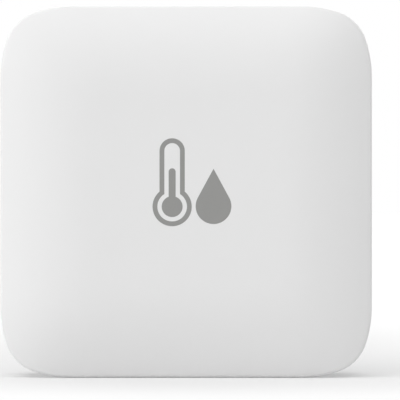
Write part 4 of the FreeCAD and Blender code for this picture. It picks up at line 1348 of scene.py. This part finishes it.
@dataclass
class Controls(SubAssembly):
    """The function button and the light pipe in the top wall, with the switch and light behind them."""

    leg_across: float = 2.4
    leg_levels: tuple[float, ...] = (15.4, 17.4)
    light_up: float = 17.3
    light_half: float = 0.8

    def build(self) -> None:
        """Copy the solids with their edges rounded and solder them to the board."""
        self.rounded("function_button", "button_cap", "button_plastic", edge=0.25, body="button", steps=4)
        self.rounded("light_pipe", "light_pin", "light_pipe_plastic", edge=0.12, steps=3)
        self.rounded("switch_body", "switch_block", "switch_plastic", edge=0.05)
        self.rounded("switch_cover", "switch_bracket", "steel_sheet", edge=0.05)
        self.rounded("switch_plunger", "switch_pin", "plunger_plastic", edge=0.08, body="plunger")
        self.rounded("status_led", "light_source", "led_resin", edge=0.08)
        leg = SweptForm(raised(0.35, edge=0.1, flare=0.22), Outline.stadium(0.5, 0.5, steps=7), copies=2,
                        across=2 * self.leg_across)
        for number, up in enumerate(self.leg_levels, start=1):
            self.row(f"switch_solder_{number}", "solder", leg,
                     self.at(-self.leg_across, self.form.board_back, up))
        end = SweptForm(raised(0.4, edge=0.08, flare=0.18), Outline.rounded(0.3, 0.9, 0.12, steps=5),
                        copies=2, across=2 * self.light_half)
        self.row("light_solder", "solder", end,
                 self.at(self.form.light_across - self.light_half, self.form.board_back, self.light_up))


@dataclass
class CellBay(SubAssembly):
    """The coin cell in its holder, with the contact strip and the contact spring."""

    radius: float = 12.25
    front: float = 6.0
    back: float = 11.0
    sheet: float = 0.25
    back_round: float = 0.5
    lip: float = 1.35
    cap_radius: float = 10.3
    cap_back: float = 8.5
    cap_round: float = 0.3
    groove: float = 0.09
    groove_insets: tuple[float, ...] = (1.5, 1.55, 1.65, 1.7)
    sign_length: float = 4.6
    sign_width: float = 0.8
    steps: int = 24

    def can(self) -> Object:
        """Make the can: a lip crimped over the front, a drawn back edge, a groove and a plus sign.

        Returns:
            The can.
        """
        sheet, bend, back = self.sheet, self.back_round, self.back
        floor = back - self.groove
        profile = Profile().to(0.0, back - sheet, 0.0).to(sheet, back - sheet)
        profile.to(sheet, self.front + 3 * sheet).to(self.lip, self.front + 2 * sheet)
        profile.to(self.lip, self.front + sheet).arc((sheet, self.front + 2 * sheet), sheet, 0, 90, steps=5)
        profile.arc((bend, back - bend), bend, 90, 180, steps=7)
        for inset, depth in zip(self.groove_insets, (back, floor, floor, back)):
            profile.to(inset, depth)
        profile.to(0.0, back, 0.0)
        far, near = self.sign_length / 2, self.sign_width / 2
        bars = [block("sign_cutter", self.at(-across, floor, -up), self.at(across, back + 1.0, up))
                for across, up in ((far, near), (near, far))]
        return self.carved("cell_can", SweptForm(profile, Outline.circle(self.radius, self.steps)),
                           self.at(0.0, 0.0, 0.0), bars)

    def cap(self) -> Object:
        """Make the cap, whose wall goes back inside the gasket.

        Returns:
            The cap.
        """
        sheet, bend = self.sheet, self.cap_round
        profile = Profile().to(0.0, self.front + sheet, 0.0).to(sheet, self.front + sheet)
        profile.to(sheet, self.cap_back).to(0.0, self.cap_back)
        profile.arc((bend, self.front + bend), bend, 90, 0, steps=6).to(0.0, self.front, 0.0)
        return self.carved("cell_cap", SweptForm(profile, Outline.circle(self.cap_radius, self.steps)),
                           self.at(0.0, 0.0, 0.0))

    def build(self) -> None:
        """Make the cell, and copy the holder and the contacts with their edges rounded."""
        self.rounded("battery_holder", "cell_holder", "holder_plastic", edge=0.1)
        self.rounded("positive_contact", "side_contact", "contact_steel", edge=0.06)
        self.rounded("negative_contact", "spring_contact", "contact_steel", edge=0.05)
        self.show(self.can(), "cell_steel", "housing", ["coin_cell_can"])
        self.show(self.cap(), "cell_steel", "housing", ["coin_cell_cap"])
        self.finish_node("coin_cell_gasket", "gasket_plastic")
        self.finish_node("coin_cell_core", "cell_filling")


@dataclass
class RadioModule(SubAssembly):
    """The module's board with its can, chips, printed antenna and soldered edges."""

    left_joints: float = -13.55
    right_joints: float = 2.55
    first_joint: float = -6.4
    joint_pitch: float = 1.6
    joint_count: int = 9
    can_front: float = 1.9
    first_hole: float = -11.0
    hole_up: float = 7.6
    hole_radius: float = 0.45
    hole_pitch: float = 2.2
    hole_count: int = 6

    def build(self) -> None:
        """Copy the solids with their edges rounded, punch the can and solder the edges."""
        self.finish_node("radio_board", "module_laminate")
        self.finish_node("antenna_trace", "antenna_copper")
        self.rounded("radio_chip", "module_chip", "chip_black", edge=0.06)
        self.rounded("radio_crystal", "module_crystal", "crystal_steel", edge=0.1, steps=3)
        can = rounded_copy("shield_can", self.node("radio_shield"), 0.09)
        holes = SweptForm(punch(0.5), Outline.circle(self.hole_radius, steps=7), copies=self.hole_count,
                          across=self.hole_pitch)
        cut_away(can, [self.shop.sweep.make("hole_cutter", holes,
                                            self.at(self.first_hole, self.can_front, self.hole_up))])
        self.show(can, "steel_sheet", "housing", ["radio_shield"])
        joints = SweptForm(raised(-0.62, edge=0.2, flare=0.16), Outline.stadium(0.5, 0.7, steps=6),
                           copies=self.joint_count, up=self.joint_pitch)
        for name, across in (("left", self.left_joints), ("right", self.right_joints)):
            self.row(f"module_solder_{name}", "solder", joints,
                     self.at(across, self.form.board_front, self.first_joint))


@dataclass
class CircuitBoard(SubAssembly):
    """The main board with its sensing chip, small parts, pads, test points and screws."""

    hole_across: float = 16.0
    hole_up: float = 15.5
    ring_radius: float = 2.1
    ring_width: float = 0.95
    ring_rise: float = 0.03
    part_up: float = -11.0
    part_length: float = 1.6
    part_width: float = 0.8
    part_pitch: float = 2.6
    part_count: int = 4
    cap_length: float = 0.36
    cap_sheet: float = 0.012
    resistor_left: float = 4.2
    resistor_height: float = 0.45
    capacitor_left: float = -13.3
    capacitor_height: float = 0.8
    reservoir_left: float = 9.2
    reservoir_length: float = 3.6
    reservoir_up: float = 4.0
    bar_across: float = 9.85
    bar_front: float = 2.49
    bar_halves: tuple[float, float] = (0.3, 1.25)
    point_left: float = 5.8
    point_up: float = -5.2
    point_radius: float = 0.6
    point_pitch: float = 2.1
    point_count: int = 5
    print_across: float = 10.0
    print_up: float = -3.2
    print_outer: tuple[float, float] = (5.3, 3.4)
    print_inner: tuple[float, float] = (5.15, 3.247)

    def small_parts(self, kind: str, finish: str, left: float, height: float) -> None:
        """Dress a row of small parts and give each two soldered metal ends.

        Args:
            kind: What the parts are.
            finish: The finish of their bodies.
            left: The left end of the first one.
            height: How far they stand out of the board.
        """
        for number in range(1, self.part_count + 1):
            self.finish_node(f"{kind}_{number}", finish)
        cap = SweptForm(raised(-height - self.cap_sheet, edge=0.05, flare=0.16),
                        Outline.rounded(self.cap_length, self.part_width + 2 * self.cap_sheet, 0.06, steps=4),
                        copies=self.part_count, across=self.part_pitch)
        ends = {"left": left + self.cap_length / 2, "right": left + self.part_length - self.cap_length / 2}
        for end, across in ends.items():
            self.row(f"{kind}_{end}_ends", "solder", cap,
                     self.at(across, self.form.board_front, self.part_up))

    def reservoir(self) -> None:
        """The large capacitor with its folded ends and the bar that marks one of them."""
        self.rounded("reservoir_capacitor", "reservoir_body", "capacitor_body", edge=0.12, steps=3)
        end = SweptForm(raised(-0.95, edge=0.06, flare=0.2), Outline.rounded(0.24, 2.0, 0.08, steps=4),
                        copies=2, across=self.reservoir_length)
        self.row("reservoir_ends", "solder", end,
                 self.at(self.reservoir_left, self.form.board_front, self.reservoir_up))
        place = self.at(self.bar_across, self.bar_front, self.reservoir_up)
        bar = cut_sheet("reservoir_bar", [rectangle_points(*self.bar_halves)], place, thickness=0.02)
        self.show(bar, "badge_ink")

    def pads(self) -> None:
        """Gold rings round the fixing holes, a row of round test points and a printed frame."""
        front = self.form.board_front
        sides = (("front", front, -self.ring_rise), ("back", self.form.board_back, self.ring_rise))
        for name, depth, rise in sides:
            ring = SweptForm(washer(self.ring_width, rise), Outline.circle(self.ring_radius, steps=9),
                             copies=2, up=2 * self.hole_up)
            for hand, across in (("left", -self.hole_across), ("right", self.hole_across)):
                self.row(f"hole_ring_{name}_{hand}", "pad_gold", ring, self.at(across, depth, -self.hole_up))
        point = SweptForm(raised(-0.035, edge=0.015), Outline.circle(self.point_radius, steps=7),
                          copies=self.point_count, across=self.point_pitch)
        self.row("test_points", "pad_gold", point, self.at(self.point_left, front, self.point_up))
        loops = [rectangle_points(*self.print_outer), rectangle_points(*self.print_inner)]
        place = self.at(self.print_across, front - 0.02, self.print_up)
        self.show(cut_sheet("board_frame_print", loops, place, thickness=0.03), "board_ink")

    def build(self) -> None:
        """Dress the board and what stands on it."""
        self.rounded("circuit_board", "main_board", "board_laminate", edge=0.04, steps=1)
        self.rounded("temperature_humidity_chip", "sensing_chip", "chip_black", edge=0.06)
        self.rounded("board_screw_left", "left_screw", "screw_steel", edge=0.06)
        self.rounded("board_screw_right", "right_screw", "screw_steel", edge=0.06)
        self.small_parts("chip_resistor", "ceramic_dark", self.resistor_left, self.resistor_height)
        self.small_parts("chip_capacitor", "ceramic_brown", self.capacitor_left, self.capacitor_height)
        self.reservoir()
        self.pads()


# Studio

@dataclass(frozen=True)
class SoftLamp:
    """A broad lamp far away, placed by its compass angle and its height above the floor."""

    name: str
    compass: float
    height: float
    strength: float
    breadth: float = 60.0

    def towards(self) -> Vector:
        """The direction from the sensor to the lamp; compass 0 is in front and 90 to the right."""
        compass, height = math.radians(self.compass), math.radians(self.height)
        return Vector((math.sin(compass) * math.cos(height), -math.cos(compass) * math.cos(height),
                       math.sin(height)))

    def hang(self) -> None:
        """Add the lamp to the scene."""
        lamp = bpy.data.lights.new(self.name, "SUN")
        lamp.energy = self.strength
        lamp.angle = math.radians(self.breadth)
        sun = bpy.data.objects.new(self.name, lamp)
        sun.rotation_euler = self.towards().to_track_quat("Z", "Y").to_euler()
        sun.location = self.towards()
        bpy.context.scene.collection.objects.link(sun)


@dataclass
class Studio:
    """The floor, the light and the camera.

    Where it is looked at, the floor carries a painted shadow: it is darker round a point behind
    the sensor and grows paler between two distances from it, into white. Light that leaves a
    surface passes the floor within a short reach, which grows under the sensor and behind it, so
    that its underside shows from below.
    """

    floor_size: float = 8.0
    floor_drop: float = 0.01
    floor_paint: float = 0.84
    # The painted shadow on the floor: its middle behind the sensor, how it is drawn out behind that, where it
    # fades and how much paler the floor grows
    shadow_middle: float = 10.0
    shadow_stretch: float = 0.28
    shadow_fade_start: float = 18.0
    shadow_fade_end: float = 58.0
    shadow_fade_gain: float = 0.14
    # Share of the floor that glows where it is looked at: painted light that lifts the object's shadow
    shadow_lift: float = 0.4
    touch: float = 0.02
    under_reach: float = 3.0
    under_start: float = -3.6
    under_end: float = -2.2
    ambient: float = 0.29
    distance: float = 350.0
    sensor_width: float = 36.0
    camera_across: float = 1.6
    camera_up: float = 20.56
    frame_width: float = 45.94
    lamps: tuple[SoftLamp, ...] = (
        SoftLamp("side_lamp", -60.0, 8.0, 1.32), SoftLamp("top_lamp", -15.0, 62.0, 1.55),
        SoftLamp("back_left_lamp", -150.0, 35.0, 0.79), SoftLamp("back_right_lamp", 130.0, 35.0, 0.63))

    def build(self, front: float) -> None:
        """Lay the floor, hang the lamps and set up the camera.

        Args:
            front: How far the face is in front of the part's origin, in millimetres.
        """
        self.lay_floor()
        self.light_world()
        for lamp in self.lamps:
            lamp.hang()
        self.place_camera(front)

    @staticmethod
    def looked_at(sheet: NodeSheet) -> Wire:
        """One for a ray from the camera, straight or by way of gloss or glass, else zero."""
        rays = [sheet.node("ShaderNodeLightPath", output=ray)
                for ray in ("Is Camera Ray", "Is Glossy Ray", "Is Transmission Ray")]
        return (rays[0] + rays[1] + rays[2]).math("MINIMUM", 1.0)

    def painted_shadow_fade(self, sheet: ShaderSheet, across: Wire, depth: Wire) -> Wire:
        """How much paler the floor is further off from the painted shadow round the sensor.

        Args:
            sheet: The floor's node tree.
            across: The place to the right, in metres.
            depth: The place to the back, in metres.

        Returns:
            What is added to its grey.
        """
        behind = depth - self.shadow_middle * MM
        spot = sheet.node("ShaderNodeCombineXYZ", {}, {
            0: across, 1: behind.math("MINIMUM", behind * self.shadow_stretch)})
        far_off = sheet.node("ShaderNodeVectorMath", {"operation": "LENGTH"}, {0: spot}, output="Value")
        return sheet.node("ShaderNodeMapRange", {"interpolation_type": "SMOOTHSTEP"}, {
            "Value": far_off, "From Min": self.shadow_fade_start * MM, "From Max": self.shadow_fade_end * MM,
            "To Min": 0.0, "To Max": self.shadow_fade_gain})

    def lay_floor(self) -> None:
        """A wide floor with a painted shadow and a shadow-lifting glow, which can be looked through from
        below.
        """
        mesh = bpy.data.meshes.new("studio_floor")
        half, low = self.floor_size / 2, -self.floor_drop * MM
        mesh.from_pydata([(across, up, low) for across, up in rectangle_points(half, half)], [],
                         [(0, 1, 2, 3)])
        floor = new_piece("studio_floor", mesh)
        sheet = ShaderSheet("floor_paint")
        across, depth = [sheet.node("ShaderNodeSeparateXYZ", {}, {0: sheet.place}, output=axis)
                         for axis in range(2)]
        seen = self.looked_at(sheet)
        # Painted shadow: where it is looked at, the floor is darker near the sensor and paler further off
        level = seen * self.painted_shadow_fade(sheet, across, depth) + self.floor_paint
        grey = sheet.node("ShaderNodeCombineColor", {}, {0: level, 1: level, 2: level})
        # Where it is looked at, part of the floor glows in its own grey: painted light that lifts the
        # object's shadow
        paint = sheet.node("ShaderNodeMixShader", {}, {
            0: seen * self.shadow_lift, 1: sheet.node("ShaderNodeBsdfDiffuse", {}, {"Color": grey}),
            2: sheet.node("ShaderNodeEmission", {}, {"Color": grey})})
        reach = sheet.node("ShaderNodeMapRange", {}, {
            "Value": depth, "From Min": self.under_start * MM, "From Max": self.under_end * MM,
            "To Min": self.touch * MM, "To Max": self.under_reach * MM})
        touching = sheet.node("ShaderNodeLightPath", output="Ray Length") < reach
        below = sheet.node("ShaderNodeNewGeometry", output="Backfacing")
        dress(floor, sheet.end(sheet.node("ShaderNodeMixShader", {}, {
            0: below.math("MAXIMUM", touching), 1: paint, 2: sheet.node("ShaderNodeBsdfTransparent")})))

    def light_world(self) -> None:
        """Even light from all round, on a background that is white where it is looked at."""
        world = bpy.data.worlds.new("studio_world")
        bpy.context.scene.world = world
        world.use_nodes = True
        sheet = NodeSheet(world.node_tree)
        strength = self.looked_at(sheet) * (1.0 - self.ambient) + self.ambient
        light = sheet.node("ShaderNodeBackground", {}, {"Color": (1, 1, 1, 1), "Strength": strength})
        sheet.put_out(light, "ShaderNodeOutputWorld")

    def place_camera(self, front: float) -> None:
        """Stand the camera level in front of the face.

        Args:
            front: How far the face is in front of the part's origin, in millimetres.
        """
        data = bpy.data.cameras.new("camera")
        data.sensor_width = self.sensor_width
        data.lens = data.sensor_width * self.distance / self.frame_width
        data.clip_start = 0.01
        camera = bpy.data.objects.new("camera", data)
        camera.location = Vector((self.camera_across, -front - self.distance, self.camera_up)) * MM
        camera.rotation_euler = (math.radians(90), 0.0, 0.0)
        bpy.context.scene.collection.objects.link(camera)
        bpy.context.scene.camera = camera


def main() -> None:
    """Build the whole scene and note its size."""
    logging.basicConfig(level=logging.INFO, format="%(message)s")
    shop = Workshop(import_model(), FinishShelf(), SweepTool())
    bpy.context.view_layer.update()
    form = BodyForm()
    for kind in (FrontCover, RearHousing, BatteryDoor, FaceBadge, Controls, CellBay, RadioModule,
                 CircuitBoard):
        kind(shop, form).build()
    Studio().build(form.depth / 2)
    bpy.context.scene.view_settings.view_transform = "Standard"


if __name__ == "__main__":
    main()
